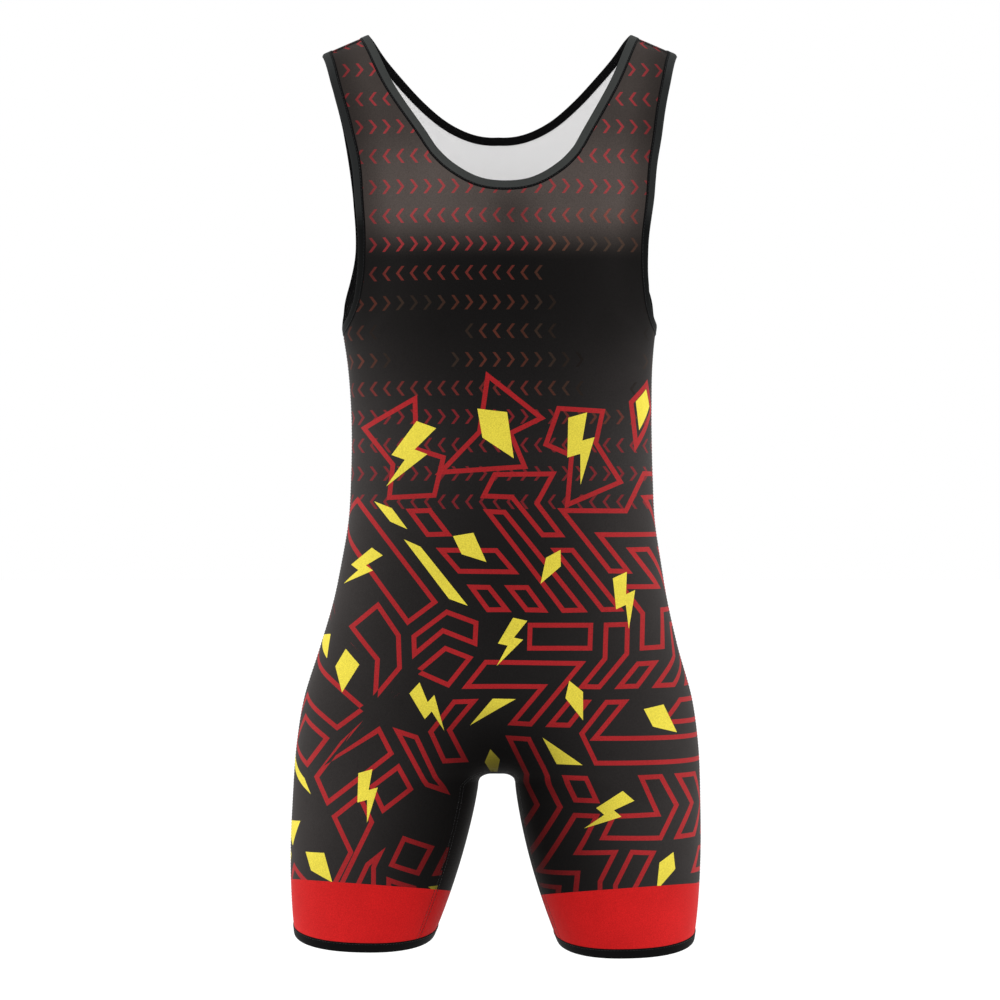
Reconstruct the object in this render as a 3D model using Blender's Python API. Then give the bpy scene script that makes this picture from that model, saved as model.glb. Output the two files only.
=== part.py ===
"""A wrestling singlet, filled out as it is when worn, with nobody in it.

The cloth is a smooth surface given by two numbers: x, the distance sideways from the
middle, and height, the distance up along the cloth. Up to the chest the height is the
real z; above ROLL_START the cloth rolls back over the shoulders, and height goes on
round that roll. Front and back panel are lofted on this surface, and the bindings are
strips of the same surface between the panels' cut edges and the garment's free edges.

All sizes are in millimetres until the meshes are made. +Z is up, the front faces -Y,
and the origin is midway between the tops of the shoulder straps.
"""

import math

import bmesh
import bpy
import numpy as np

MM = 0.001
FRONT, BACK = -1, 1
LEFT, RIGHT = -1, 1  # -X and +X

# Driving dimensions, in millimetres
PANEL_WALL = 1.5
BINDING_WALL = 2.0
BINDING_PROUD = 0.3
BINDING_WIDTH = 10.0
SEAM_GAP = 0.3
BINDING_ROWS = (0.0, 5.0, BINDING_WIDTH - SEAM_GAP)  # from the free edge to the seam

# The body of the garment by height: half its width, how far front and back stand out
# from the side seams at the middle, how far the middle leans sideways, and the turn of
# the body about its height, in radians
SECTIONS = np.array(
    [
        (-910, 197.0, 73, 76, -5.0, 0.000),
        (-860, 202.5, 81, 83, -4.5, 0.000),
        (-815, 204.5, 85, 87, -4.0, 0.000),
        (-755, 203.5, 88, 92, -3.0, 0.000),
        (-695, 200.0, 90, 103, -2.0, 0.000),
        (-655, 194.0, 93, 107, -1.5, 0.000),
        (-600, 178.0, 95, 99, -0.5, 0.000),
        (-555, 166.4, 94, 84, 1.0, 0.000),
        (-515, 158.9, 91, 72, 1.8, 0.000),
        (-475, 152.7, 90, 64, 2.2, 0.000),
        (-435, 150.6, 91, 63, 2.4, 0.000),
        (-360, 150.0, 98, 73, 1.7, 0.012),
        (-320, 152.0, 105, 80, 0.5, 0.022),
        (-288, 155.9, 109, 86, -0.4, 0.030),
        (-250, 162.4, 112, 90, 0.4, 0.036),
        (-205, 171.5, 111, 92, 1.0, 0.036),
        (-155, 190.0, 106, 88, 2.1, 0.036),
        (-110, 204.0, 97, 82, 2.0, 0.034),
        (-50, 213.0, 84, 77, 0.3, 0.022),
        (20, 216.0, 73, 73, -0.2, 0.020),
    ],
    dtype=[(name, float) for name in ("z", "half_width", "front", "back", "lean", "turn")],
)
SQUARENESS = 2.3  # exponent of the rounded sections: 2 is an ellipse

# The roll over the shoulders
ROLL_START = -110.0
ROLL_RADIUS = 110.0
RIDGE_NECK_X = 131.0
RIDGE_NECK_Z = 9.5
RIDGE_SLOPE = 0.43
SEAM_ANGLE = math.radians(75)  # the shoulder seam lies this far round, before the top

# The gap between the legs: half its width by the distance below the crotch's corners
CROTCH_Z = -728.0
CROTCH_CORNER_Z = -736.0
GAP_HALF_TOP = 17.5
GAP_SLOPE = 0.15
GAP_FLARE = 0.00085
GAP_CORNER = 12.0
GAP_BLEND = 6.0
LIFT_NEAR, LIFT_FAR, LIFT_REACH = 1.5, 0.5, 20.0

# The inner-leg seam lies this far in front of the legs' innermost line
INSEAM_REACH = {LEFT: 16.0, RIGHT: 3.0}
INSEAM_CROTCH_REACH = 6.0
INSEAM_BACK_REACH = 16.0

# The legs' free edges
HEM_OUTER = {LEFT: -886.0, RIGHT: -892.0}
HEM_INNER_DROP = 3.5
HEM_DIP = {FRONT: -10.0, BACK: 8.0}

# Free edge of the neckline, from the middle to the shoulder seam
NECK_EDGE = {
    FRONT: np.array(
        [
            (0, -35),
            (22, -32.5),
            (51.2, -16.7),
            (78.4, 14.3),
            (105.5, 56),
            (124.6, 116),
            (129.5, 144),
        ],
        dtype=[("x", float), ("height", float)],
    ),
    BACK: np.array(
        [
            (0, 16.3),
            (23.3, 18.7),
            (52.5, 30),
            (75.5, 47.5),
            (96.3, 71.4),
            (114.4, 102),
            (125.5, 138),
            (130.5, 172.8),
            (129.5, 201.6),
        ],
        dtype=[("x", float), ("height", float)],
    ),
}

# Free edge of the armholes, from the underarm to the shoulder seam: degrees round the
# section from the side seam, and height
ARM_EDGE = {
    FRONT: np.array(
        [
            (0, -172),
            (16, -166),
            (25.2, -152),
            (31, -131),
            (35.4, -101),
            (41.2, -52),
            (44.1, -15),
            (43.8, 18),
            (40.5, 80),
            (37, 144),
        ],
        dtype=[("degrees", float), ("height", float)],
    ),
    BACK: np.array(
        [
            (0, -172),
            (9, -163),
            (17.2, -145),
            (24.3, -129),
            (31.5, -106),
            (37.5, -75),
            (41.5, -40),
            (43.5, -5),
            (43.5, 25),
            (40.5, 85),
            (38, 150),
            (37, 201.6),
        ],
        dtype=[("degrees", float), ("height", float)],
    ),
}

# Rows of the mesh, and columns between the middle and the side
LEG_ROWS = 6
CROTCH_ROWS = 4
BODY_ROWS = 14
CHEST_ROWS = 6
STRAP_ROWS = 10
COLUMNS = 12
CHEST_Z = -330.0
CHEST_EDGE_HEIGHT = -100.0
HIP_Z = -690.0
INSEAM_STEPS = (1.0, 0.516, 0.203, 0.041)
DENSE = 301  # points on a curve before its even spacing is found
BOTH_ENDS_CLOSE = (1 - np.cos(np.linspace(0, math.pi, DENSE))) / 2

CLOTH_DARK = (0.012, 0.011, 0.012, 1)
BINDING_GREY = (0.035, 0.042, 0.04, 1)


# The surface of the cloth


def section(name, z):
    """A size from SECTIONS at any z, on a smooth curve through the rows."""
    heights, sizes = SECTIONS["z"], SECTIONS[name]
    slopes = np.gradient(sizes, heights)
    z = np.clip(z, heights[0], heights[-1])
    row = np.clip(np.searchsorted(heights, z) - 1, 0, len(heights) - 2)
    step = heights[row + 1] - heights[row]
    t = (z - heights[row]) / step
    return (
        (2 * t**3 - 3 * t**2 + 1) * sizes[row]
        + (t**3 - 2 * t**2 + t) * step * slopes[row]
        + (3 * t**2 - 2 * t**3) * sizes[row + 1]
        + (t**3 - t**2) * step * slopes[row + 1]
    )


def half_gap(z):
    """Half the width of the gap between the legs."""
    below = GAP_BLEND * np.logaddexp(0, (CROTCH_CORNER_Z - z) / GAP_BLEND)
    return GAP_HALF_TOP + GAP_SLOPE * below + GAP_FLARE * below**2


def lift(rise):
    """Height above the crotch as a distance from the gap, which counts for less far up."""
    above = np.maximum(rise, 0)
    bend = (LIFT_NEAR - LIFT_FAR) * LIFT_REACH * (1 - np.exp(-above / LIFT_REACH))
    return np.where(rise < 0, LIFT_NEAR * rise, LIFT_FAR * above + bend)


def unlift(distance):
    """The rise that gives this distance."""
    rises = np.linspace(-2 * GAP_CORNER, 8 * GAP_CORNER, DENSE)
    return np.interp(distance, lift(rises), rises)


def distance_to_gap(x, z):
    across = np.abs(x) - half_gap(z) + GAP_CORNER
    up = lift(z - CROTCH_Z) + GAP_CORNER
    outside = np.hypot(np.maximum(across, 0), np.maximum(up, 0))
    return np.where((across < 0) & (up < 0), np.maximum(across, up), outside) - GAP_CORNER


def place_across(x, z):
    """-1 at the inner leg, 0 where the section stands out most and 1 at the side seam."""
    outer = section("half_width", z) - np.abs(x)
    far_side = section("half_width", z) + np.abs(x)
    gap = distance_to_gap(x, z)
    inner = gap * (1 + (gap / far_side) ** 4) ** -0.25
    return (inner - outer) / (inner + outer)


def dome(x, z):
    """How far the section stands out at x: 0 at the side seam and the inner leg, 1 between."""
    across = np.abs(place_across(x, z))
    return np.maximum(1 - across**SQUARENESS, 0) ** (1 / SQUARENESS)


def z_at(x, height):
    ridge = RIDGE_NECK_Z - RIDGE_SLOPE * (np.abs(x) - RIDGE_NECK_X)
    rolled = ROLL_START + (ridge - ROLL_START) * np.sin(np.maximum(height, 0) / ROLL_RADIUS)
    return np.where(height < 0, ROLL_START + height, rolled)


def depth_at(z, angle, face):
    """How far the middle stands out; round the roll, front and back come to share one depth."""
    own = section("front" if face == FRONT else "back", z)
    shared = (section("front", z) + section("back", z)) / 2
    t = np.clip(angle / SEAM_ANGLE, 0, 1)
    return own + (shared - own) * t**2 * (3 - 2 * t)


def sideways(y, z):
    """How far the lean and the turn of the body move the cloth sideways."""
    return section("lean", z) - section("turn", z) * y


def cloth(x, height, face):
    """Points of the cloth's outer surface."""
    x, height = np.asarray(x, float), np.asarray(height, float)
    z = z_at(x, height)
    angle = np.maximum(height, 0) / ROLL_RADIUS
    y = face * depth_at(z, angle, face) * dome(x, z) * np.cos(angle)
    return np.stack([x + sideways(y, z), y, z], axis=-1)


def outward(x, height, face):
    """The cloth's unit normals, which point away from the body."""
    x, height = np.asarray(x, float), np.asarray(height, float)
    by_x = slope(lambda t: cloth(x + t, height, face))
    by_height = slope(lambda t: cloth(x, height + t, face))
    rolled = np.cross(by_x, by_height) * -face

    # Below the roll: the gradient of |across|^n + |y / depth|^n, which is smooth at the seams
    z = z_at(x, height)
    across = place_across(x, z)
    depth = depth_at(z, 0, face)
    y = cloth(x, height, face)[..., 1]
    bulge = np.abs(y) / depth
    power = SQUARENESS - 1
    pull = np.sign(across) * np.abs(across) ** power
    by_z = pull * slope(lambda t: place_across(x, z + t))
    by_z = by_z - bulge**SQUARENESS / depth * slope(lambda t: depth_at(z + t, 0, face))
    by_x = pull * slope(lambda t: place_across(x + t, z))
    by_z = by_z - by_x * slope(lambda t: sideways(y, z + t))
    by_y = face * bulge**power / depth + by_x * section("turn", z)
    plain = np.stack([by_x, by_y, by_z], axis=-1)

    found = np.where((height < 0)[..., None], plain, rolled)
    return found / np.linalg.norm(found, axis=-1, keepdims=True)


def slope(function, step=0.05):
    return (function(step) - function(-step)) / (2 * step)


def sheet(x, height, face):
    """The cloth's points with their normals, six numbers each."""
    return np.concatenate([cloth(x, height, face), outward(x, height, face)], axis=-1)


def x_round_section(degrees, height):
    """x at an angle round the section from the side seam."""
    reach = np.cos(np.radians(np.abs(degrees))) ** (2 / SQUARENESS)
    x = np.full_like(np.asarray(height, float), RIDGE_NECK_X)
    for _ in range(6):  # above the roll, z depends a little on x
        x = section("half_width", z_at(x, height)) * reach
    return x


# Curves on the surface


def smooth_through(points, count):
    """A smooth curve through points, mirrored in u at its first one."""
    points = np.array(points, float)
    mirrored = points[1] * (-1, 1)
    chain = np.vstack([mirrored, points])
    steps = np.linalg.norm(np.diff(chain, axis=0), axis=1)
    along = np.concatenate([[0], np.cumsum(steps)])
    slopes = np.gradient(chain, along, axis=0)
    at = np.linspace(along[1], along[-1], count)
    row = np.clip(np.searchsorted(along, at) - 1, 1, len(along) - 2)
    step = (along[row + 1] - along[row])[:, None]
    t = ((at - along[row])[:, None]) / step
    return (
        (2 * t**3 - 3 * t**2 + 1) * chain[row]
        + (t**3 - 2 * t**2 + t) * step * slopes[row]
        + (3 * t**2 - 2 * t**3) * chain[row + 1]
        + (t**3 - t**2) * step * slopes[row + 1]
    )


def length_along(points):
    return np.concatenate([[0], np.cumsum(np.linalg.norm(np.diff(points, axis=0), axis=1))])


def evenly(pairs, points, count):
    """count of the pairs, evenly spaced along the points that they stand for."""
    along = length_along(points)
    at = np.linspace(0, along[-1], count)
    return np.stack([np.interp(at, along, pairs[:, k]) for k in range(pairs.shape[1])], axis=1)


def inset(pairs, surface, width):
    """The pairs moved width mm into the cloth, square to their curve on the surface.

    The cloth lies on the side of falling height at the curve's first point.
    """
    along = np.gradient(pairs, axis=0)
    along[0] = (1, 0)
    by_u = slope(lambda t: surface(pairs[:, 0] + t, pairs[:, 1]))
    by_v = slope(lambda t: surface(pairs[:, 0], pairs[:, 1] + t))
    uu, uv, vv = (by_u * by_u).sum(1), (by_u * by_v).sum(1), (by_v * by_v).sum(1)
    side_u, side_v = along[:, 1], -along[:, 0]
    area = uu * vv - uv**2
    move_u = (vv * side_u - uv * side_v) / area
    move_v = (uu * side_v - uv * side_u) / area
    length = np.sqrt(uu * move_u**2 + 2 * uv * move_u * move_v + vv * move_v**2)
    return pairs + width * np.stack([move_u / length, move_v / length], axis=1)


def neck_line(face, width):
    """(x, height) along the neckline, width mm inside its free edge."""

    def surface(x, height):
        return cloth(x, height, face)

    table = NECK_EDGE[face]
    dense = smooth_through(np.stack([table["x"], table["height"]], axis=1), DENSE)
    edge = evenly(dense, surface(*dense.T), STRAP_ROWS + 1)
    line = inset(edge, surface, width)
    line[-1, 1] = edge[-1, 1]  # it ends on the shoulder seam
    return line


def arm_line(face, width):
    """(x, height) along the armhole, width mm inside its free edge."""

    def surface(degrees, height):
        x = x_round_section(degrees, height)
        ahead, behind = cloth(x, height, FRONT), cloth(x, height, BACK)
        own = ahead if face == FRONT else behind
        other = behind if face == FRONT else ahead
        return np.where((degrees < 0)[:, None], other, own)

    table = ARM_EDGE[face]
    dense = smooth_through(np.stack([table["degrees"], table["height"]], axis=1), DENSE)
    points = surface(*dense.T)
    split = int(np.searchsorted(dense[:, 1], CHEST_EDGE_HEIGHT))
    chest = evenly(dense[: split + 1], points[: split + 1], CHEST_ROWS + 1)
    strap = evenly(dense[split:], points[split:], STRAP_ROWS + 1)
    edge = np.vstack([chest, strap[1:]])
    line = inset(edge, surface, width)
    line[-1, 1] = edge[-1, 1]  # it ends on the shoulder seam
    return np.stack([x_round_section(*line.T), line[:, 1]], axis=1)


def leg_line(across, up, side, face, width=BINDING_WIDTH):
    """(x, height) in a leg: across is 0 at the inner leg and 1 at the side seam, and up is
    0 on the line width mm above the free edge and 1 level with the crotch."""
    bulge = (1 - np.abs(2 * across - 1) ** SQUARENESS) ** (1 / SQUARENESS)
    dip = HEM_DIP[face] * bulge
    edge = HEM_OUTER[side] - HEM_INNER_DROP * (1 - across) + dip + width
    z = edge + (CROTCH_CORNER_Z - edge) * up
    x = half_gap(z) + across * (section("half_width", z) - half_gap(z))
    return np.stack([x, z - ROLL_START], axis=-1)


def across_leg(side, face, column, reach):
    """The share across the leg that lies reach mm from the gap."""
    across = 0.0
    for _ in range(8):
        z = leg_line(across, column / LEG_ROWS, side, face)[..., 1] + ROLL_START
        across = reach / (section("half_width", z) - half_gap(z))
    return across


def inner_leg(side, face, column, reach):
    """(x, height) at one column along the inner leg and crotch, reach mm from the gap."""
    if column <= LEG_ROWS:
        return leg_line(across_leg(side, face, column, reach), column / LEG_ROWS, side, face)
    turn = math.radians(90) * min((column - LEG_ROWS) / (CROTCH_ROWS - 1), 1)
    flat = half_gap(CROTCH_Z) - GAP_CORNER
    rise = unlift((reach + GAP_CORNER) * math.sin(turn) - GAP_CORNER)
    x = flat + (reach + GAP_CORNER) * math.cos(turn)
    if column == LEG_ROWS + CROTCH_ROWS:
        x = 0.0
    return np.array([x, CROTCH_Z + rise - ROLL_START])


def seam_reach(side, face, column):
    """How far from the gap the seam, or the back panel's own rows, begin at this column."""
    if face == BACK:
        return INSEAM_BACK_REACH
    left = np.clip(1 - (column - LEG_ROWS) / (CROTCH_ROWS - 1), 0, 1)
    return INSEAM_CROTCH_REACH + (INSEAM_REACH[side] - INSEAM_CROTCH_REACH) * left**2


def inner_edge(side, face):
    """(x, height) up the inner edge of half a panel: the inner leg, the middle, the neck."""
    edge = []
    for column in range(LEG_ROWS + CROTCH_ROWS + 1):
        gap = SEAM_GAP if face == FRONT else 0.0
        edge.append(inner_leg(side, face, column, seam_reach(side, face, column) + gap))
    neck = neck_line(face, BINDING_WIDTH)
    heights = np.linspace(edge[-1][1], neck[0, 1], DENSE)
    middle = np.stack([np.zeros(DENSE), heights], axis=1)
    split = int(np.searchsorted(middle[:, 1], CHEST_Z - ROLL_START))
    for part, count in ((middle[: split + 1], BODY_ROWS), (middle[split:], CHEST_ROWS)):
        edge.extend(evenly(part, cloth(*part.T, face), count + 1)[1:])
    edge.extend(neck[1:])
    return edge


def outer_edge(side, face):
    """(x, height) up the outer edge of half a panel: the side seam and the armhole."""
    arm = arm_line(face, BINDING_WIDTH)
    edge = [leg_line(1.0, row / LEG_ROWS, side, face) for row in range(LEG_ROWS + 1)]
    stops = (CROTCH_CORNER_Z, HIP_Z, arm[0, 1] + ROLL_START)
    for start, end, count in zip(stops, stops[1:], (CROTCH_ROWS, BODY_ROWS)):
        for z in np.linspace(start, end, count + 1)[1:]:
            edge.append(np.array([section("half_width", z), z - ROLL_START]))
    edge.extend(arm[1:])
    return edge


def leg_shares(side, face, row):
    """Where a leg row's columns lie across the leg, from the seam or back rows to the side."""
    gap = SEAM_GAP if face == FRONT else 0.0
    first = across_leg(side, face, row, seam_reach(side, face, row) + gap)
    dense = first + (1 - first) * BOTH_ENDS_CLOSE
    points = cloth(*leg_line(dense, row / LEG_ROWS, side, face).T, face)
    return evenly(dense[:, None], points, COLUMNS + 1)[:, 0]


def half_rows(side, face):
    """Rows of (x, height) across half a panel, from the middle or inner leg to the side."""
    rows = []
    for index, (first, last) in enumerate(zip(inner_edge(side, face), outer_edge(side, face))):
        if index <= LEG_ROWS:
            rows.append(leg_line(leg_shares(side, face, index), index / LEG_ROWS, side, face))
        else:
            pairs = first + (last - first) * BOTH_ENDS_CLOSE[:, None]
            share = length_along(cloth(*pairs.T, face))
            pairs[:, 1] = first[1] + (last[1] - first[1]) * share / share[-1]
            rows.append(evenly(pairs, cloth(*pairs.T, face), COLUMNS + 1))
    return rows


# Building the pieces


def set_place(sheet_points, side):
    """Points made for +X, mirrored to this side. The body's lean and turn stay as they are."""
    if side == RIGHT:
        return sheet_points
    x, y, z, out_x, out_y, out_z = np.moveaxis(sheet_points, -1, 0)
    out_y = out_y - 2 * section("turn", z) * out_x
    out_z = out_z + 2 * slope(lambda t: sideways(y, z + t)) * out_x
    out = np.stack([-out_x, out_y, out_z], axis=-1)
    out = out / np.linalg.norm(out, axis=-1, keepdims=True)
    return np.concatenate([np.stack([2 * sideways(y, z) - x, y, z], axis=-1), out], axis=-1)


def add_strip(mesh, rows, flip):
    """Faces between rows of sheet points. Rows run up and points run across, unless flipped."""
    layer = mesh.verts.layers.float_vector["outward"]
    made = []
    for row in rows:
        made.append([])
        for point in row:
            vertex = mesh.verts.new(point[:3] * MM)
            vertex[layer] = point[3:]
            made[-1].append(vertex)
    for lower, upper in zip(made, made[1:]):
        for k in range(len(lower) - 1):
            corners = [lower[k], lower[k + 1], upper[k + 1], upper[k]]
            mesh.faces.new(corners[::-1] if flip else corners)


def new_sheet():
    mesh = bmesh.new()
    mesh.verts.layers.float_vector.new("outward")
    return mesh


def thicken(mesh, wall, proud):
    """Gives the sheet its wall, square to the cloth also at its cut edges."""
    layer = mesh.verts.layers.float_vector["outward"]
    faces = list(mesh.faces)
    edges = [edge for edge in mesh.edges if edge.is_boundary]
    inner = {}
    for vertex in list(mesh.verts):
        inner[vertex] = mesh.verts.new(vertex.co - vertex[layer] * (wall - proud) * MM)
        vertex.co += vertex[layer] * proud * MM
    for face in faces:
        mesh.faces.new([inner[vertex] for vertex in reversed(face.verts)])
    for edge in edges:
        loop = edge.link_loops[0]
        start, end = loop.vert, loop.link_loop_next.vert
        mesh.faces.new([end, start, inner[start], inner[end]])


def material(name, colour, roughness):
    made = bpy.data.materials.new(name)
    made.use_nodes = True
    shader = made.node_tree.nodes["Principled BSDF"]
    shader.inputs["Base Color"].default_value = colour
    shader.inputs["Roughness"].default_value = roughness
    shader.inputs["Sheen Weight"].default_value = 0.15
    return made


def finish(name, mesh, collection, finish_material, wall, proud=0.0):
    """Welds the strips, gives the sheet its wall and puts the piece in the scene."""
    bmesh.ops.remove_doubles(mesh, verts=mesh.verts, dist=0.01 * MM)
    thicken(mesh, wall, proud)
    data = bpy.data.meshes.new(name)
    mesh.to_mesh(data)
    mesh.free()
    data.shade_smooth()
    data.set_sharp_from_angle(angle=math.radians(50))
    data.materials.append(finish_material)
    piece = bpy.data.objects.new(name, data)
    collection.objects.link(piece)
    return piece


def make_panel(face, collection, cloth_material):
    """Front or back panel. The back one reaches round the inner leg to the inner-leg seam."""
    mesh = new_sheet()
    apart = np.array([0, face * SEAM_GAP / 2, 0, 0, 0, 0])
    for side in (LEFT, RIGHT):
        rows = []
        for pairs in half_rows(side, face):
            rows.append(set_place(sheet(*pairs.T, face), side) + apart)
        add_strip(mesh, rows, flip=side * face > 0)
        if face == BACK:
            add_strip(mesh, inner_leg_rows(side, apart), flip=side == LEFT)
    name = "front_panel" if face == FRONT else "back_panel"
    return finish(name, mesh, collection, cloth_material, PANEL_WALL)


def inner_leg_reaches(side, column):
    """(face, reach) across the inner leg, from the back panel's own rows to the seam."""
    back = [(BACK, INSEAM_BACK_REACH * step) for step in INSEAM_STEPS]
    front = [(FRONT, seam_reach(side, FRONT, column) * step) for step in INSEAM_STEPS]
    return back + [(BACK, 0.0)] + front[::-1]


def inner_leg_rows(side, apart):
    rows = []
    for column in range(LEG_ROWS + CROTCH_ROWS + 1):
        row = []
        for face, reach in inner_leg_reaches(side, column):
            row.append(sheet(*inner_leg(side, face, column, reach), face))
        row[0] = row[0] + apart
        rows.append(set_place(np.array(row), side))
    return rows


def make_ring(name, rings, flip, collection, finish_material):
    """A closed binding from rings of points: its free edge first, its seam last."""
    mesh = new_sheet()
    add_strip(mesh, [np.vstack([ring, ring[:1]]) for ring in rings], flip)
    return finish(name, mesh, collection, finish_material, BINDING_WALL, BINDING_PROUD)


def make_neck_binding(collection, finish_material):
    rings = []
    for width in BINDING_ROWS:
        front = sheet(*neck_line(FRONT, width).T, FRONT)
        back = sheet(*neck_line(BACK, width).T, BACK)
        half = np.vstack([front, back[-2::-1]])
        other = set_place(half, LEFT)[-2:0:-1]
        rings.append(np.vstack([half, other]))
    make_ring("neck_binding", rings, True, collection, finish_material)


def make_arm_binding(side, collection, finish_material):
    rings = []
    for width in BINDING_ROWS:
        front = sheet(*arm_line(FRONT, width).T, FRONT)
        back = sheet(*arm_line(BACK, width).T, BACK)
        rings.append(set_place(np.vstack([front, back[-2:0:-1]]), side))
    name = f"arm_binding_{'right' if side == RIGHT else 'left'}"
    make_ring(name, rings, side == LEFT, collection, finish_material)


def hem_ring(side, width):
    """Points round a leg, width mm above its free edge, in line with the panels' columns."""
    places = [(FRONT, share) for share in leg_shares(side, FRONT, 0)]
    places += [(BACK, share) for share in leg_shares(side, BACK, 0)[-2::-1]]
    for face, reach in inner_leg_reaches(side, 0)[1:-1]:
        places.append((face, across_leg(side, face, 0, reach)))
    ring = [sheet(*leg_line(share, 0, side, face, width), face) for face, share in places]
    return set_place(np.array(ring), side)


def make_leg_binding(side, collection, finish_material):
    rings = [hem_ring(side, width) for width in BINDING_ROWS]
    name = f"leg_binding_{'right' if side == RIGHT else 'left'}"
    make_ring(name, rings, side == LEFT, collection, finish_material)


def main():
    for old in list(bpy.data.objects):
        bpy.data.objects.remove(old)
    singlet = bpy.data.collections.new("wrestling_singlet")
    bpy.context.scene.collection.children.link(singlet)
    knit = material("printed_knit", CLOTH_DARK, 0.8)
    tape = material("binding_tape", BINDING_GREY, 0.7)
    make_panel(FRONT, singlet, knit)
    make_panel(BACK, singlet, knit)
    make_neck_binding(singlet, tape)
    for side in (LEFT, RIGHT):
        make_arm_binding(side, singlet, tape)
        make_leg_binding(side, singlet, tape)


main()
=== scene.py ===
"""The looks of a wrestling singlet, filled out as it is when worn, with nobody in it.

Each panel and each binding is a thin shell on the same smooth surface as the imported
solids. A point of the cloth is given by x, the distance sideways from the middle, and
height, the distance up along the cloth; both are in millimetres, and so are all sizes
here until a mesh is made. The print is laid out on a plane (u, v) that follows the
cloth: v is height, and u is x where the cloth faces forward and turns with it at the
sides. The front faces -Y, and left is -X.
"""

import math
from functools import partial

import bpy
import numpy as np
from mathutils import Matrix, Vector
from mathutils.geometry import delaunay_2d_cdt


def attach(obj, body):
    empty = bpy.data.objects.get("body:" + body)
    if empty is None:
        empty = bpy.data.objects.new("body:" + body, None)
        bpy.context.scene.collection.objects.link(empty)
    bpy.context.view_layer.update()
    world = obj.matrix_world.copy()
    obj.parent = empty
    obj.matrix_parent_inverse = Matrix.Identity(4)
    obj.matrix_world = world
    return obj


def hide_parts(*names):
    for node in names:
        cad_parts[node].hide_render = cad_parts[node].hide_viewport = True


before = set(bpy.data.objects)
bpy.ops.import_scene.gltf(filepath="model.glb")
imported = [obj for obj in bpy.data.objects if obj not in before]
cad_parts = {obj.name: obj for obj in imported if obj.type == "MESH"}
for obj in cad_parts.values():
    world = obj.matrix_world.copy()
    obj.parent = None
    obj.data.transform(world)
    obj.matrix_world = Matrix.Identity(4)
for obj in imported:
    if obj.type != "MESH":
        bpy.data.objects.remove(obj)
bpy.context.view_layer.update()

MM = 0.001
FRONT, BACK = -1, 1
LEFT, RIGHT = -1, 1

# ---------------------------------------------------------------- the cloth's surface

# The body by height: half its width, how far front and back stand out, its lean, and its
# turn in radians
SECTIONS = np.array(
    [
        (-910, 197.0, 73, 76, -5.0, 0.000),
        (-860, 202.5, 81, 83, -4.5, 0.000),
        (-815, 204.5, 85, 87, -4.0, 0.000),
        (-755, 203.5, 88, 92, -3.0, 0.000),
        (-695, 200.0, 90, 103, -2.0, 0.000),
        (-655, 194.0, 93, 107, -1.5, 0.000),
        (-600, 178.0, 95, 99, -0.5, 0.000),
        (-555, 166.4, 94, 84, 1.0, 0.000),
        (-515, 158.9, 91, 72, 1.8, 0.000),
        (-475, 152.7, 90, 64, 2.2, 0.000),
        (-435, 150.6, 91, 63, 2.4, 0.000),
        (-360, 150.0, 98, 73, 1.7, 0.012),
        (-320, 152.0, 105, 80, 0.5, 0.022),
        (-288, 155.9, 109, 86, -0.4, 0.030),
        (-250, 162.4, 112, 90, 0.4, 0.036),
        (-205, 171.5, 111, 92, 1.0, 0.036),
        (-155, 190.0, 106, 88, 2.1, 0.036),
        (-110, 204.0, 97, 82, 2.0, 0.034),
        (-50, 213.0, 84, 77, 0.3, 0.022),
        (20, 216.0, 73, 73, -0.2, 0.020),
    ],
    dtype=[(name, float) for name in ("z", "half_width", "front", "back", "lean", "turn")],
)
SQUARENESS = 2.3  # exponent of the rounded sections: 2 is an ellipse

ROLL_START = -110.0
ROLL_RADIUS = 110.0
RIDGE_NECK_X = 131.0
RIDGE_NECK_Z = 9.5
RIDGE_SLOPE = 0.43
SEAM_ANGLE = math.radians(75)
SEAM_HEIGHT = {FRONT: 144.0, BACK: 201.6}

CROTCH_Z = -728.0
CROTCH_CORNER_Z = -736.0
GAP_HALF_TOP = 17.5
GAP_SLOPE = 0.15
GAP_FLARE = 0.00085
GAP_CORNER = 12.0
GAP_BLEND = 6.0
LIFT_NEAR, LIFT_FAR, LIFT_REACH = 1.5, 0.5, 20.0

INSEAM_REACH = {LEFT: 16.0, RIGHT: 3.0}
INSEAM_CROTCH_REACH = 6.0
INSEAM_BACK_REACH = 16.0

HEM_OUTER = {LEFT: -886.0, RIGHT: -892.0}
HEM_INNER_DROP = 3.5
HEM_DIP = {FRONT: -10.0, BACK: 8.0}

# Free edge of the neckline, from the middle to the shoulder seam: x and height
NECK_EDGE = {
    FRONT: [
        (0, -35), (22, -32.5), (51.2, -16.7), (78.4, 14.3), (105.5, 56), (124.6, 116),
        (129.5, 144),
    ],
    BACK: [
        (0, 16.3), (23.3, 18.7), (52.5, 30), (75.5, 47.5), (96.3, 71.4),
        (114.4, 102), (125.5, 138), (130.5, 172.8), (129.5, 201.6),
    ],
}
# Free edge of the armholes, from the underarm up: degrees round the section, and height
ARM_EDGE = {
    FRONT: [
        (0, -172), (16, -166), (25.2, -152), (31, -131), (35.4, -101),
        (41.2, -52), (44.1, -15), (43.8, 18), (40.5, 80), (37, 144),
    ],
    BACK: [
        (0, -172), (9, -163), (17.2, -145), (24.3, -129), (31.5, -106), (37.5, -75),
        (41.5, -40), (43.5, -5), (43.5, 25), (40.5, 85), (38, 150), (37, 201.6),
    ],
}


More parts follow.
